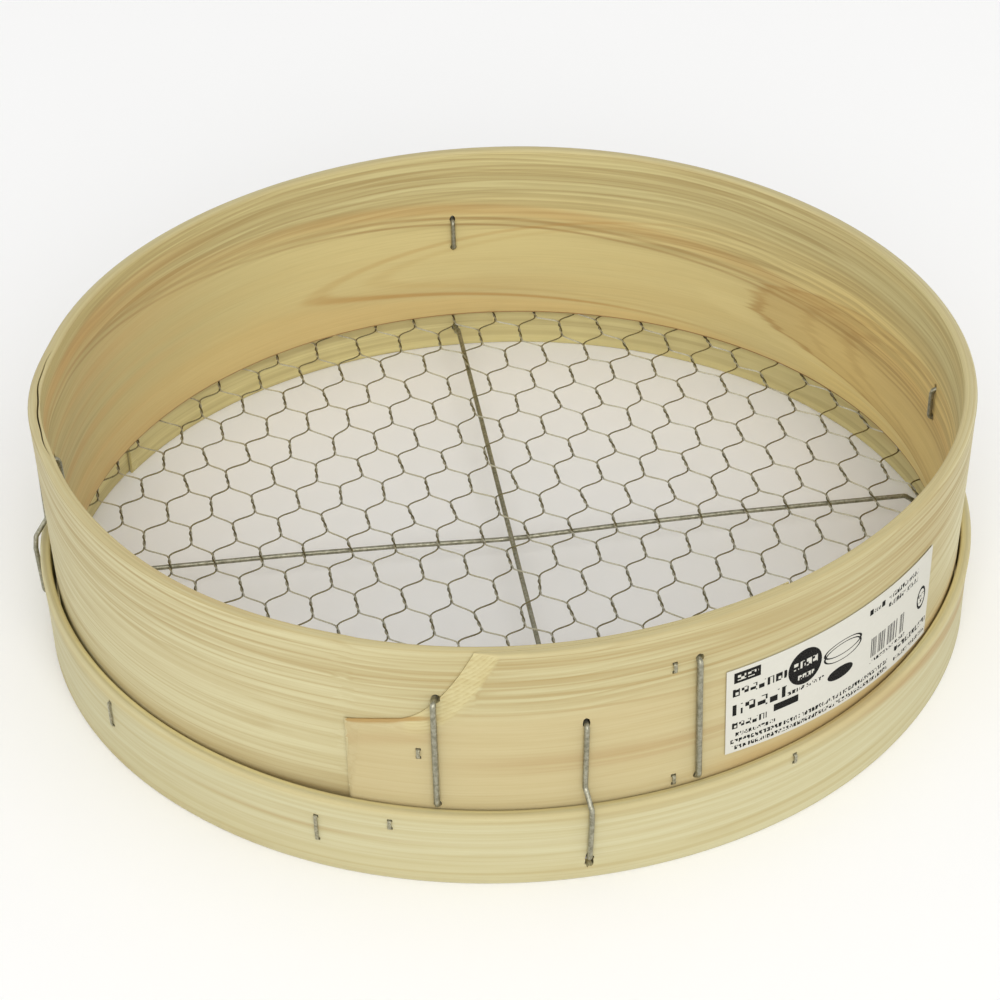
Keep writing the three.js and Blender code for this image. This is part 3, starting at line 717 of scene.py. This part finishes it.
def galvanised(name, color, dull, roughness, grain, metal, shade_twists=False):
    n = Nodes(name, Metallic=metal)
    place = n.add("ShaderNodeTexCoord").outputs["Object"]
    spangle = n.noise(place, grain, 4, 0.7)
    patch = n.noise(place, grain / 6, 2)
    tone = n.mix(n.remap(spangle, 0.35, 0.65), linear(dull), linear(color))
    tone = n.tint(n.remap(patch, 0.5, 0.8, 0, 0.4), tone, tuple(c * 0.75 for c in dull))
    if shade_twists:
        # painted shade darkens the wires where two of them twist together, standing in for the crevices between
        # them
        y = n.add("ShaderNodeSeparateXYZ", Vector=place).outputs[1]
        row = n.divide(n.minus(y, MESH_ORIGIN[1] * MM), MESH_ROW * MM)
        off = n.math("ABSOLUTE", n.minus(n.math("FRACT", n.plus(row, 0.5)), 0.5))
        half = TWIST_LENGTH / MESH_ROW / 2
        tone = n.tint(n.remap(off, half - 0.04, half + 0.04, 0.4, 0), tone, tuple(c * 0.5 for c in dull))
    n.feed(n.shader.inputs["Base Color"], tone)
    n.feed(n.shader.inputs["Roughness"], n.remap(spangle, 0.3, 0.7, roughness + 0.12, roughness - 0.06))
    n.bump(spangle, 0.00005, 0.5)
    return n.material


def printed_paper():
    """A label with a made-up print of bars, blocks, a disc and rows of illegible marks."""
    n = Nodes("label_paper", Roughness=0.7, Specular_IOR_Level=0.06)
    face = n.add("ShaderNodeUVMap", {"uv_map": "face"}).outputs[0]
    u, v, _ = n.add("ShaderNodeSeparateXYZ", Vector=face).outputs
    x, y = n.times(u, LABEL_SIZE[0]), n.times(v, LABEL_SIZE[1])

    def marks(left, right, low, high, tall, wide, full=0.5):
        """Rows of small blocks that only look like print from afar."""
        across = n.divide(n.minus(x, left), wide)
        up = n.divide(n.minus(y, low), tall)
        line = n.math("COMPARE", n.math("FRACT", up), 0.42, 0.3)
        cell = n.vector(n.math("FLOOR", n.times(across, 3)), n.math("FLOOR", n.times(up, 4.5)), left)
        blot = n.math("LESS_THAN", n.add("ShaderNodeTexWhiteNoise", Vector=cell).outputs["Value"], full)
        gap = n.math("COMPARE", n.math("FRACT", across), 0.42, 0.4)
        return n.times(n.within(x, y, left, right, low, high), line, blot, gap)

    def ring(cx, cy, wide, high, radius, half):
        dx = n.divide(n.minus(x, cx), wide)
        dy = n.divide(n.minus(y, cy), high)
        far = n.math("SQRT", n.plus(n.times(dx, dx), n.times(dy, dy)))
        return n.math("COMPARE", far, radius, half)

    disc = ring(33.8, 27, 7.8, 7.8, 0, 1)
    holes = n.most(marks(28.5, 39.5, 26.2, 31.4, 5.2, 2.9, 0.66), marks(30.5, 38, 21.4, 24.8, 3.4, 2.1, 0.6))
    bar = n.noise(n.vector(n.times(x, 1.9), 0, 0), 1, 0)
    bars = n.times(n.within(x, y, 68, 91, 12.5, 21), n.math("GREATER_THAN", bar, 0.5))
    heading = n.times(n.within(x, y, 3, 14, 32, 36.8), n.minus(1, marks(4.4, 13, 32.6, 36.6, 4, 4.2, 0.5)))
    rows = (
        (2.5, 25.5, 25.2, 31, 5.8, 3.6, 0.62), (2.5, 25.5, 16.2, 24.4, 8.2, 5.2, 0.6),
        (2.5, 17, 10.4, 15, 4.6, 2.8, 0.64), (4, 21, 6.9, 9.8, 2.9, 1.8, 0.55), (2, 80, 0.8, 6.8, 3, 1.7, 0.56),
        (84, 108, 5.6, 9.6, 4, 2.6, 0.66), (84, 108, 1.6, 4.4, 2.8, 1.4, 0.56),
        (26, 43, 16.6, 19.4, 2.8, 2, 0.55), (69, 73, 32, 34.6, 2.6, 1.3, 0.5), (78, 98, 29, 36, 3.5, 1.7, 0.55),
        (100, 105, 17, 22, 2.5, 1.6, 0.4), (68, 91, 9.6, 12, 2.4, 2, 0.5),
    )
    blocks = ((20, 31, 12.4, 15.6), (66.5, 68.5, 32.2, 34.6), (73.5, 75.5, 32.2, 34.6))
    rings = (
        (52.5, 26.4, 9.4, 3, 1, 0.06), (52.5, 24.6, 9.4, 3.6, 1, 0.05), (51.5, 15.4, 6.6, 2.7, 0, 1),
        (102.5, 19.5, 3, 4.2, 1, 0.14),
    )
    dark = n.most(
        n.times(disc, n.minus(1, holes)), bars, heading, *(marks(*row) for row in rows),
        *(n.within(x, y, *block) for block in blocks), *(ring(*each) for each in rings),
    )
    paper = n.mix(n.noise(face, 40, 3), linear((193, 191, 180)), linear((199, 197, 187)))
    worn = n.remap(n.noise(face, 260, 2), 0.35, 0.5, 0.93, 1)
    n.feed(n.shader.inputs["Base Color"], n.mix(n.times(dark, worn), paper, linear((14, 13, 12))))
    return n.material


def floor_material():
    n = Nodes("studio_floor", Roughness=0.9, Specular_IOR_Level=0.1)
    soft = n.noise(n.add("ShaderNodeTexCoord").outputs["Object"], 2, 2)
    n.feed(n.shader.inputs["Base Color"], n.mix(soft, linear((249, 249, 249)), linear((251, 251, 251))))
    return n.material


HOOP_WOOD = hoop_wood()
BAND_WOOD = band_wood()
NET_WIRE = galvanised("netting_wire", (160, 152, 116), (116, 108, 72), 0.26, 1500, 0.8, shade_twists=True)
# painted glint: a much paler copy of the netting wire, so that one slant of wires looks as if it caught the light
NET_PAINTED_GLINT = galvanised("netting_painted_glint_wire", (226, 224, 208), (186, 182, 156), 0.3, 1500, 0.55, shade_twists=True)
ROD_WIRE = galvanised("rod_wire", (168, 166, 148), (122, 119, 99), 0.32, 700, 0.75)
STAPLE_WIRE = galvanised("staple_wire", (172, 168, 146), (120, 116, 92), 0.38, 900, 0.6)
PAPER = printed_paper()


# ---- hoop and foot band ----

def grain(body, board_outer, board_thickness, start, layers):
    """Stores each point's place in its board before it was bent: along, deep and high.

    Where the inner end thins, its depth is stretched to the full thickness.
    """
    mesh = body.data
    place = np.empty(len(mesh.vertices) * 3)
    mesh.vertices.foreach_get("co", place)
    place = place.reshape(-1, 3) / MM
    laid = np.empty_like(place)
    for i, (x, y, z) in enumerate(place):
        radius = math.hypot(x, y)
        angle = layers(math.degrees(math.atan2(y, x)), radius, z)
        deep = board_outer(angle, z) - radius
        if angle > start + 360:
            deep *= board_thickness(start + 360) / board_thickness(angle)
        laid[i] = (math.radians(angle) * HOOP_RADIUS, deep, z)
    attribute = mesh.attributes.new("grain", "FLOAT_VECTOR", "POINT")
    attribute.data.foreach_set("vector", (laid * MM).ravel())


def steps_between(*stretches):
    """Angles along stretches of (to, step), the first pair giving where they start."""
    angles = [stretches[0][0]]
    for stop, step in stretches[1:]:
        start, count = angles[-1], max(1, round((stop - angles[-1]) / step))
        angles += [lerp(start, stop, k / count) for k in range(1, count + 1)]
    return angles


OGEE_END = TONGUE_ANGLE + math.degrees(OGEE_LENGTH / HOOP_RADIUS)
OGEE_LINE = [
    (math.radians(angle - TONGUE_ANGLE) * HOOP_RADIUS, ogee_height(angle))
    for angle in np.linspace(TONGUE_ANGLE, OGEE_END, 80)
]
OGEE_STRIP = [lerp(LEDGE_BEVEL, BEVEL_WIDTH, smooth(along, OGEE_LEDGE, OGEE_LEDGE + 7)) for along, _ in OGEE_LINE]


def shaved(angle, z):
    """How deep the tongue's face is shaved away towards the ogee and towards its tip."""
    along = math.radians(angle - TONGUE_ANGLE) * HOOP_RADIUS
    if angle > HEEL_ANGLE:
        return 0
    near = min(math.hypot(along - a, z - b) / wide for (a, b), wide in zip(OGEE_LINE, OGEE_STRIP))
    strip = max(0, 1 - near)
    tip = max(0, 1 - along / (TIP_BEVEL * smooth(z, HOOP_BASE + 4, HOOP_BASE + 44) + 0.5))
    return (hoop_thickness(angle) - BEVEL_EDGE) * max(strip, tip)


def staple_slots(kind, face, angle, z):
    """Slits round a staple's two legs, a little wider than they are."""
    slots = []
    half = kind["crown"] / 2
    rise = face(angle, z + half) - face(angle, z - half)
    tilt = Matrix.Rotation(math.atan2(rise, kind["crown"]), 3, "Y")
    turn = Matrix.Rotation(math.radians(angle), 3, "Z")
    wide, tall = kind["width"] / 2 + 0.3, kind["gauge"] / 2 + 0.3
    corners = ((-wide, -tall), (wide, -tall), (wide, tall), (-wide, tall))
    for side in (-1, 1):
        middle = side * (half - kind["gauge"] / 2)
        rings = [[Vector((out, y, middle + up)) for y, up in corners] for out in (-kind["leg"] - FIT, 1.5)]
        points, faces = loft(rings)
        stand = Vector((face(angle, z), 0, z))
        slots.append(([turn @ (tilt @ point + stand) for point in points], faces))
    return slots


def split():
    """The crack that runs along the rim where the board strained round the bend."""
    rings = []
    count = 24
    for k in range(count + 1):
        t = k / count
        angle = lerp(SPLIT_FROM, SPLIT_TO, t)
        gape = SPLIT_WIDTH * math.sin(math.pi * t) ** 0.7 / 2 + 0.02
        waver = 0.35 * math.sin(9 * t) + 0.2 * math.sin(23 * t)
        low = RIM - SPLIT_DEPTH * math.sin(math.pi * t) ** 0.5
        middle = hoop_outer(angle, RIM) - SPLIT_IN + waver
        lean = 0.045
        rings.append([
            at(angle, middle + (z - RIM) * lean + side, z)
            for side, z in ((-gape, RIM + 2), (gape, RIM + 2), (0.02, low), (-0.02, low))
        ])
    return loft(rings)


def hoop_cutters():
    cutters = [split()]
    for facing, _, hook, _ in ROD_ENDS.values():
        toe = ROD_HOOK - CLINCH
        angle = facing_angle(facing, hook)
        wall = math.sqrt(hoop_face(angle, ROD_HOOK) ** 2 - hook ** 2)
        back = math.sqrt(hoop_back(angle, ROD_HOOK) ** 2 - hook ** 2)
        cutters.append(bore(facing, hook, back - 3, wall + 2, ROD_HOOK + 0.6, ROD + 0.4, ROD + 2, 1.15, 0.06))
        cutters.append(bore(facing, hook, back - 3, back + 3, toe, ROD + 0.7, ROD + 0.9, 1))
    for _, angle, top in STITCHES:
        near, far = hoop_back(angle, top) - 3, hoop_face(angle, top)
        cutters.append(bore(angle, 0.5, near, far + 2, top, STITCH + 0.7, STITCH + 0.9, 1.2, 0.08))
        cutters.append(bore(angle, 0, near, far + 3, STITCH_FOOT, STITCH + 0.8, STITCH + 0.7, 1, 0.05))
    for angle, z in HOOP_TACKS:
        cutters += staple_slots(TACK, hoop_face, angle, z)
    return cutters


def seam_edge(angle):
    """How far the two layers' rims are rounded where they meet, less towards the heel."""
    return lerp(0.3, 0.04, smooth(angle, HEEL_ANGLE - 20, HEEL_ANGLE - 5))


def main_hoop():
    angles = steps_between((TONGUE_ANGLE, 0), (OGEE_END - 1.5, 0.3), (OGEE_END, 0.05), (OGEE_END + 6, 0.3),
                           (HEEL_ANGLE, 1), (HEEL_ANGLE + 360, 1.5))
    rings = []
    near_top = [1, 0.985, 0.97, 0.95, 0.93, 0.91, 0.885, 0.86, 0.83, 0.8]
    rows = near_top + [k / 10 for k in range(8)]
    for angle in angles:
        top = ogee_height(angle) if angle < OGEE_END else RIM
        deep = (lambda z, a=angle: shaved(a, z)) if angle < OGEE_END + 8 else (lambda z: 0)
        thick = hoop_thickness(angle)

        def outer(z, a=angle, cut=deep):
            return hoop_outer(a, z) - cut(z)

        def inner(z, a=angle, t=thick):
            return hoop_outer(a, z) - t

        edge = lerp(EDGE_FRONT, EDGE_BACK, (1 + math.sin(math.radians(angle))) / 2)
        round_off = (edge, EDGE_IN, EDGE_FOOT, EDGE_FOOT)
        if angle < OGEE_END:
            round_off = (0.15, 0.1, EDGE_FOOT, EDGE_FOOT)
        elif angle < HEEL_ANGLE:
            round_off = (edge, seam_edge(angle), EDGE_FOOT, EDGE_FOOT)
        elif angle > TONGUE_ANGLE + 360 and angle - 360 > OGEE_END:
            round_off = (seam_edge(angle - 360), EDGE_IN, EDGE_FOOT, EDGE_FOOT)
        outline = section(outer, inner, HOOP_BASE, top, round_off, rows)
        rings.append([at(angle, radius, z) for radius, z in outline])
    hoop = piece("hoop", *loft(rings), HOOP_WOOD, "main_hoop", cutters=hoop_cutters())

    def layer(angle, radius, z):
        place = turned(angle)
        middle = hoop_outer(place + 360, z) + LAP_GAP / 2 if place < HEEL_ANGLE else 0
        return place + 360 if radius < middle else place

    grain(hoop, hoop_outer, hoop_thickness, TONGUE_ANGLE, layer)


def foot_band():
    angles = steps_between((BAND_TONGUE_ANGLE, 0), (BAND_HEEL_ANGLE + 360, 1.5))
    rows = [k / 7 for k in range(8)]
    rings = []
    round_off = (BAND_EDGE_OUT, BAND_EDGE_IN, BAND_EDGE_FOOT, BAND_EDGE_FOOT)
    for angle in angles:
        def outer(z, a=angle):
            return band_outer(a, z)

        def inner(z, a=angle):
            return band_outer(a, z) - band_thickness(a)

        outline = section(outer, inner, 0, band_top(angle), round_off, rows)
        rings.append([at(angle, radius, z) for radius, z in outline])
    cutters = []
    for name, (facing, foot, _, _) in ROD_ENDS.items():
        wall = band_face(facing_angle(facing, foot), ROD_HOLE)
        drop, ragged = (1.6, 0.22) if name == "front" else (0.5, 0.1)
        cutters.append(bore(facing, foot, wall - 7, wall + 1.5, ROD_HOLE - drop, ROD + 1,
                            ROD + 1 + 1.6 * drop, 1.2, ragged))
    for kind, places in ((TACK, BAND_TACKS + BAND_LAP_TACKS), (STAPLE, BAND_STAPLES)):
        for angle, z in places:
            cutters += staple_slots(kind, band_face, angle, z)
    band = piece("band", *loft(rings), BAND_WOOD, "foot_band", cutters=cutters)

    def layer(angle, radius, z):
        place = (angle - BAND_TONGUE_ANGLE) % 360 + BAND_TONGUE_ANGLE
        if place > BAND_HEEL_ANGLE:
            return place
        middle = band_outer(place, z) - band_thickness(place) - FIT / 2
        return place + 360 if radius < middle else place

    grain(band, band_outer, band_thickness, BAND_TONGUE_ANGLE, layer)


# ---- netting ----

def netting():
    """Each wire runs slantwise across the sieve, and in each row twists round the one it crosses."""
    middle = NET_TOP - NET_THICKNESS / 2
    rows = math.ceil(HOOP_RADIUS / MESH_ROW) + 1
    reach = math.ceil(2 * HOOP_RADIUS / MESH_PITCH) + rows + 4
    lean = math.radians(NET_LEAN)
    nudge = {}
    for column in range(-2 * reach, 2 * reach + 1):
        for row in range(-rows, rows + 1):
            nudge[column, row] = (rng.gauss(0, SHIFT), rng.gauss(0, SHIFT), rng.gauss(0, LIFT),
                                  rng.gauss(lean, TURN), rng.uniform(-PHASE, PHASE))
    offset = WIRE / 2 + 0.03
    # the left-running wires wear the painted glint
    for heading, name, material, bow in (
        (1, "netting_right_running", NET_WIRE, 0.5),
        (-1, "netting_left_running", NET_PAINTED_GLINT, 0.15),
    ):
        parts = []
        for start in range(-reach, reach + 1):
            path = []
            for row in range(-rows, rows + 1):
                column = 2 * start + heading * row
                dx, dy, dz, turn, phase = nudge.get((column, row), (0, 0, 0, lean, 0))
                x = MESH_ORIGIN[0] + column * MESH_PITCH / 2 + dx
                y = MESH_ORIGIN[1] + row * MESH_ROW + dy
                steps = 16
                for i in range(steps + 1):
                    t = i / steps
                    run = (t - 0.5) * TWIST_LENGTH
                    wind = 2 * math.pi * TWIST_TURNS * t + phase * math.sin(math.pi * t)
                    out = -heading * offset * math.cos(wind)
                    lift = -heading * offset * math.sin(wind)
                    px = x + out * math.cos(turn) + run * math.sin(turn)
                    place = Vector((px, y + run * math.cos(turn), middle + dz + lift))
                    if i == 0 and path:
                        path += bowed(path[-1], place, bow)
                    path.append(place)
            parts += wires_inside(path, middle)
        piece(name, *join(parts), material, "wire_netting", sharp=60)


def bowed(start, stop, bow):
    """Points between two twists, where the wire swings out of one and into the next."""
    across = stop - start
    way = Vector((across.x * (1 - bow), across.y * (1 + bow), across.z))
    points = []
    for k in range(1, 6):
        t = k / 6
        ease = t * t * (3 - 2 * t)
        points.append(start + across * ease + way * (t * (1 - t) ** 2 - t * t * (1 - t)))
    return points


def wires_inside(path, middle):
    """The stretches of a wire between the two rings, each end bent up between them."""
    runs, run = [], []
    for place in path:
        angle = math.degrees(math.atan2(place.y, place.x))
        if math.hypot(place.x, place.y) < hoop_face(angle, HOOP_BASE) + 0.3:
            run.append(place)
        elif run:
            runs.append(run)
            run = []
    if run:
        runs.append(run)
    parts = []
    for run in runs:
        if len(run) < 5:
            continue
        pressed = [press(place, middle) for place in run]
        pressed = fold(pressed[::-1])[::-1]
        pressed = fold(pressed)
        parts.append(tube(pressed, WIRE / 2, 6))
    return parts


def press(place, middle):
    """Near the wall the netting is pinched flat under the hoop's edge."""
    angle = math.degrees(math.atan2(place.y, place.x))
    back = hoop_back(angle, HOOP_BASE)
    near = smooth(math.hypot(place.x, place.y), back - 3, back + 2)
    flat = middle + (place.z - middle) * 0.3 - 0.1
    return Vector((place.x, place.y, lerp(place.z, flat, near)))


def fold(run):
    end = run[-1]
    return run + [end + Vector((0, 0, rise)) for rise in (0.8, 3, FOLD_UP)]


# ---- rods, stitches and staples ----

def rod_end(name):
    facing, foot, hook, bulge = ROD_ENDS[name]
    lift = FIT + ROD / 2

    def along(radius, aside):
        return math.sqrt(radius ** 2 - aside ** 2)

    low, high = facing_angle(facing, foot), facing_angle(facing, hook)
    edge = band_top(low)
    wall = along(band_face(low, ROD_HOLE), foot)
    rim = along(band_face(low, edge), foot)
    over = lerp(foot, hook, 0.4)
    sill = along(hoop_face(facing_angle(facing, over), edge + 8), over)
    hoop = along(hoop_face(high, ROD_HOOK), hook)
    toe = ROD_HOOK - CLINCH
    sway = 0.8 if name == "front" else 0

    def inside(z):
        return along(hoop_back(high, z), hook) - lift

    corners = [
        (wall - 17, foot, ROD_UNDER_NET), (wall - 9, foot, ROD_HOLE), (wall + lift + bulge, foot, ROD_HOLE),
        (rim + lift + bulge, lerp(foot, hook, 0.1) + sway, edge - 4),
        (rim + lift, lerp(foot, hook, 0.2) + sway, edge + 1),
        (sill + lift, over - sway, edge + 8), (hoop + lift, hook, ROD_HOOK), (inside(ROD_HOOK), hook, ROD_HOOK),
        (inside(toe), hook, toe), (inside(toe) + lift + 2.4, hook, toe),
    ]
    return [beside(facing, *corner) for corner in corners]


def support_rod(name, start, stop, middle=()):
    path = rounded(rod_end(start)[::-1] + list(middle) + rod_end(stop), BEND)
    piece(name, *tube(path, ROD / 2 - 0.03, 14), ROD_WIRE, name.replace("rod_", "support_rod_"))


def rods():
    under = ROD + FIT
    row = ROD_ENDS["right"][1]
    half = (ROD_DIP / 2, under * 0.35)
    sinks = ((-ROD_DIP, 0), (-half[0], half[1]), (-5, under), (5, under), half, (ROD_DIP, 0))
    middle = [Vector((SLANT_X + off, row, ROD_UNDER_NET - sink)) for off, sink in sinks]
    support_rod("rod_crosswise", "left", "right", middle)
    support_rod("rod_fore_aft", "front", "back")


def stitches():
    lift = FIT + STITCH / 2
    for name, angle, top in STITCHES:
        corners = []
        for z, tail in ((STITCH_FOOT, STITCH_TAIL), (top, -STITCH_TAIL)):
            outside, inside = hoop_face(angle, z) + lift, hoop_back(angle, z) - lift
            leg = [(inside, z + tail), (inside, z), (outside, z)]
            corners += leg if tail > 0 else leg[::-1]
        path = rounded([at(angle, radius, z) for radius, z in corners], BEND)
        piece(name.replace("lap_stitch", "stitch"), *tube(path, STITCH / 2, 14), ROD_WIRE, name)


def staple(name, node, kind, face, angle, z):
    """A flat wire staple with rounded shoulders, standing up and down against a wall."""
    half = kind["crown"] / 2
    gauge = kind["gauge"]
    rise = face(angle, z + half) - face(angle, z - half)
    out = FIT + gauge / 2
    corners = [(-kind["leg"], half - gauge / 2), (out, half - gauge / 2), (out, gauge / 2 - half),
               (-kind["leg"], gauge / 2 - half)]
    path = rounded([Vector((x, 0, y)) for x, y in corners], 0.7, 5, 2)
    count = len(path)
    rings = []
    for i, place in enumerate(path):
        ahead = (path[min(i + 1, count - 1)] - path[max(i - 1, 0)]).normalized()
        outward = Vector((ahead.z, 0, -ahead.x))
        ring = []
        for k in range(12):
            turn = 2 * math.pi * k / 12
            flat = [math.copysign(abs(c) ** 0.6, c) for c in (math.cos(turn), math.sin(turn))]
            ring.append(place + Vector((0, 1, 0)) * flat[0] * kind["width"] / 2 + outward * flat[1] * gauge / 2)
        rings.append(ring)
    turn = Matrix.Rotation(math.radians(angle), 3, "Z")
    tilt = Matrix.Rotation(math.atan2(rise, kind["crown"]), 3, "Y")
    stand = Vector((face(angle, z), 0, z))
    points, faces = loft(rings)
    points = [turn @ (tilt @ point + stand) for point in points]
    piece(name, points, faces, STAPLE_WIRE, node)


def staples():
    for name, node, kind, face, places in (
        ("hoop_lap_tack", "hoop_tack", TACK, hoop_face, HOOP_TACKS),
        ("foot_tack", "band_tack", TACK, band_face, BAND_TACKS),
        ("foot_lap_tack", "band_lap_tack", TACK, band_face, BAND_LAP_TACKS),
        ("foot_staple", "band_staple", STAPLE, band_face, BAND_STAPLES),
    ):
        for i, (angle, z) in enumerate(places, 1):
            staple(f"{name}_{i}", f"{node}_{i}", kind, face, angle, z)


# ---- label ----

def label():
    across, up = 72, 8
    points, faces, uvs = [], [], []
    for lift in (FIT + LABEL_THICKNESS, FIT):
        for k in range(up + 1):
            for i in range(across + 1):
                t = i / across
                angle = lerp(LABEL_FROM, LABEL_TO, t)
                z = lerp(*LABEL_LOW, t) + lerp(*LABEL_TALL, t) * k / up
                points.append(at(angle, hoop_face(angle, z) + lift, z))
                uvs.append((t, k / up))
    layer = (across + 1) * (up + 1)
    for k in range(up):
        for i in range(across):
            a = k * (across + 1) + i
            quad = (a, a + 1, a + across + 2, a + across + 1)
            faces += [quad, tuple(p + layer for p in quad[::-1])]
    rim = list(range(across + 1))
    rim += [(k + 1) * (across + 1) - 1 for k in range(1, up + 1)]
    rim += [up * (across + 1) + i for i in range(across - 1, -1, -1)]
    rim += [k * (across + 1) for k in range(up - 1, 0, -1)]
    for a, b in zip(rim, rim[1:] + rim[:1]):
        faces.append((b, a, a + layer, b + layer))
    made = piece("label", points, faces, PAPER, "paper_label")
    face = made.data.uv_layers.new(name="face")
    for loop in made.data.loops:
        face.data[loop.index].uv = uvs[loop.vertex_index]


# ---- studio ----

def studio():
    edge = 6
    floor_mesh = bpy.data.meshes.new("floor")
    corners = [(-edge, -edge, 0), (edge, -edge, 0), (edge, edge, 0), (-edge, edge, 0)]
    floor_mesh.from_pydata(corners, [], [(0, 1, 2, 3)])
    floor_mesh.materials.append(floor_material())
    floor = bpy.data.objects.new("floor", floor_mesh)
    bpy.context.collection.objects.link(floor)
    world = bpy.data.worlds.new("studio")
    world.use_nodes = True
    # a tent of white cloth, brighter round the sides than overhead
    tree = world.node_tree
    sky = tree.nodes["Background"]
    sky.inputs["Color"].default_value = (1, 1, 1, 1)
    heading = tree.nodes.new("ShaderNodeTexCoord").outputs["Generated"]
    apart = tree.nodes.new("ShaderNodeSeparateXYZ")
    glow = tree.nodes.new("ShaderNodeMapRange")
    tree.links.new(heading, apart.inputs[0])
    tree.links.new(apart.outputs[2], glow.inputs[0])
    for socket, value in zip(list(glow.inputs)[1:5], (0.3, 0.6, 1.5, 0.5)):
        socket.default_value = value
    tree.links.new(glow.outputs[0], sky.inputs["Strength"])
    bpy.context.scene.world = world
    for name, place, size, power in (
        ("key", (-0.1, -3, 2.3), 2.8, 80),
        ("fill", (0.4, 0.3, 2.9), 1.6, 5),
    ):
        lamp = bpy.data.lights.new(name, "AREA")
        lamp.size = size
        lamp.energy = power
        lamp.color = (1, 0.99, 0.97)
        made = bpy.data.objects.new(name, lamp)
        made.location = place
        made.rotation_euler = (-Vector(place)).to_track_quat("-Z", "Y").to_euler()
        bpy.context.collection.objects.link(made)


def camera():
    """Stands where the photographer stood, a little to the left, looking down into the sieve."""
    lens = bpy.data.cameras.new("camera")
    lens.lens = 109.8
    lens.sensor_width = 36
    lens.shift_x = -0.0059
    made = bpy.data.objects.new("camera", lens)
    place = Vector((-118.2, -962.6, 729.1)) * MM
    aim = Vector((0, 0, 38.2)) * MM
    ahead = (aim - place).normalized()
    level = ahead.cross(Vector((0, 0, 1))).normalized()
    up = level.cross(ahead)
    roll = -0.024
    right = level * math.cos(roll) + up * math.sin(roll)
    over = up * math.cos(roll) - level * math.sin(roll)
    turn = Matrix((right, over, -ahead)).transposed().to_4x4()
    made.matrix_world = Matrix.Translation(place + CENTRE) @ turn
    lens.clip_end = 20
    bpy.context.collection.objects.link(made)
    bpy.context.scene.camera = made


camera()
main_hoop()
foot_band()
netting()
rods()
stitches()
staples()
label()
studio()

bpy.context.scene.view_settings.view_transform = "Standard"
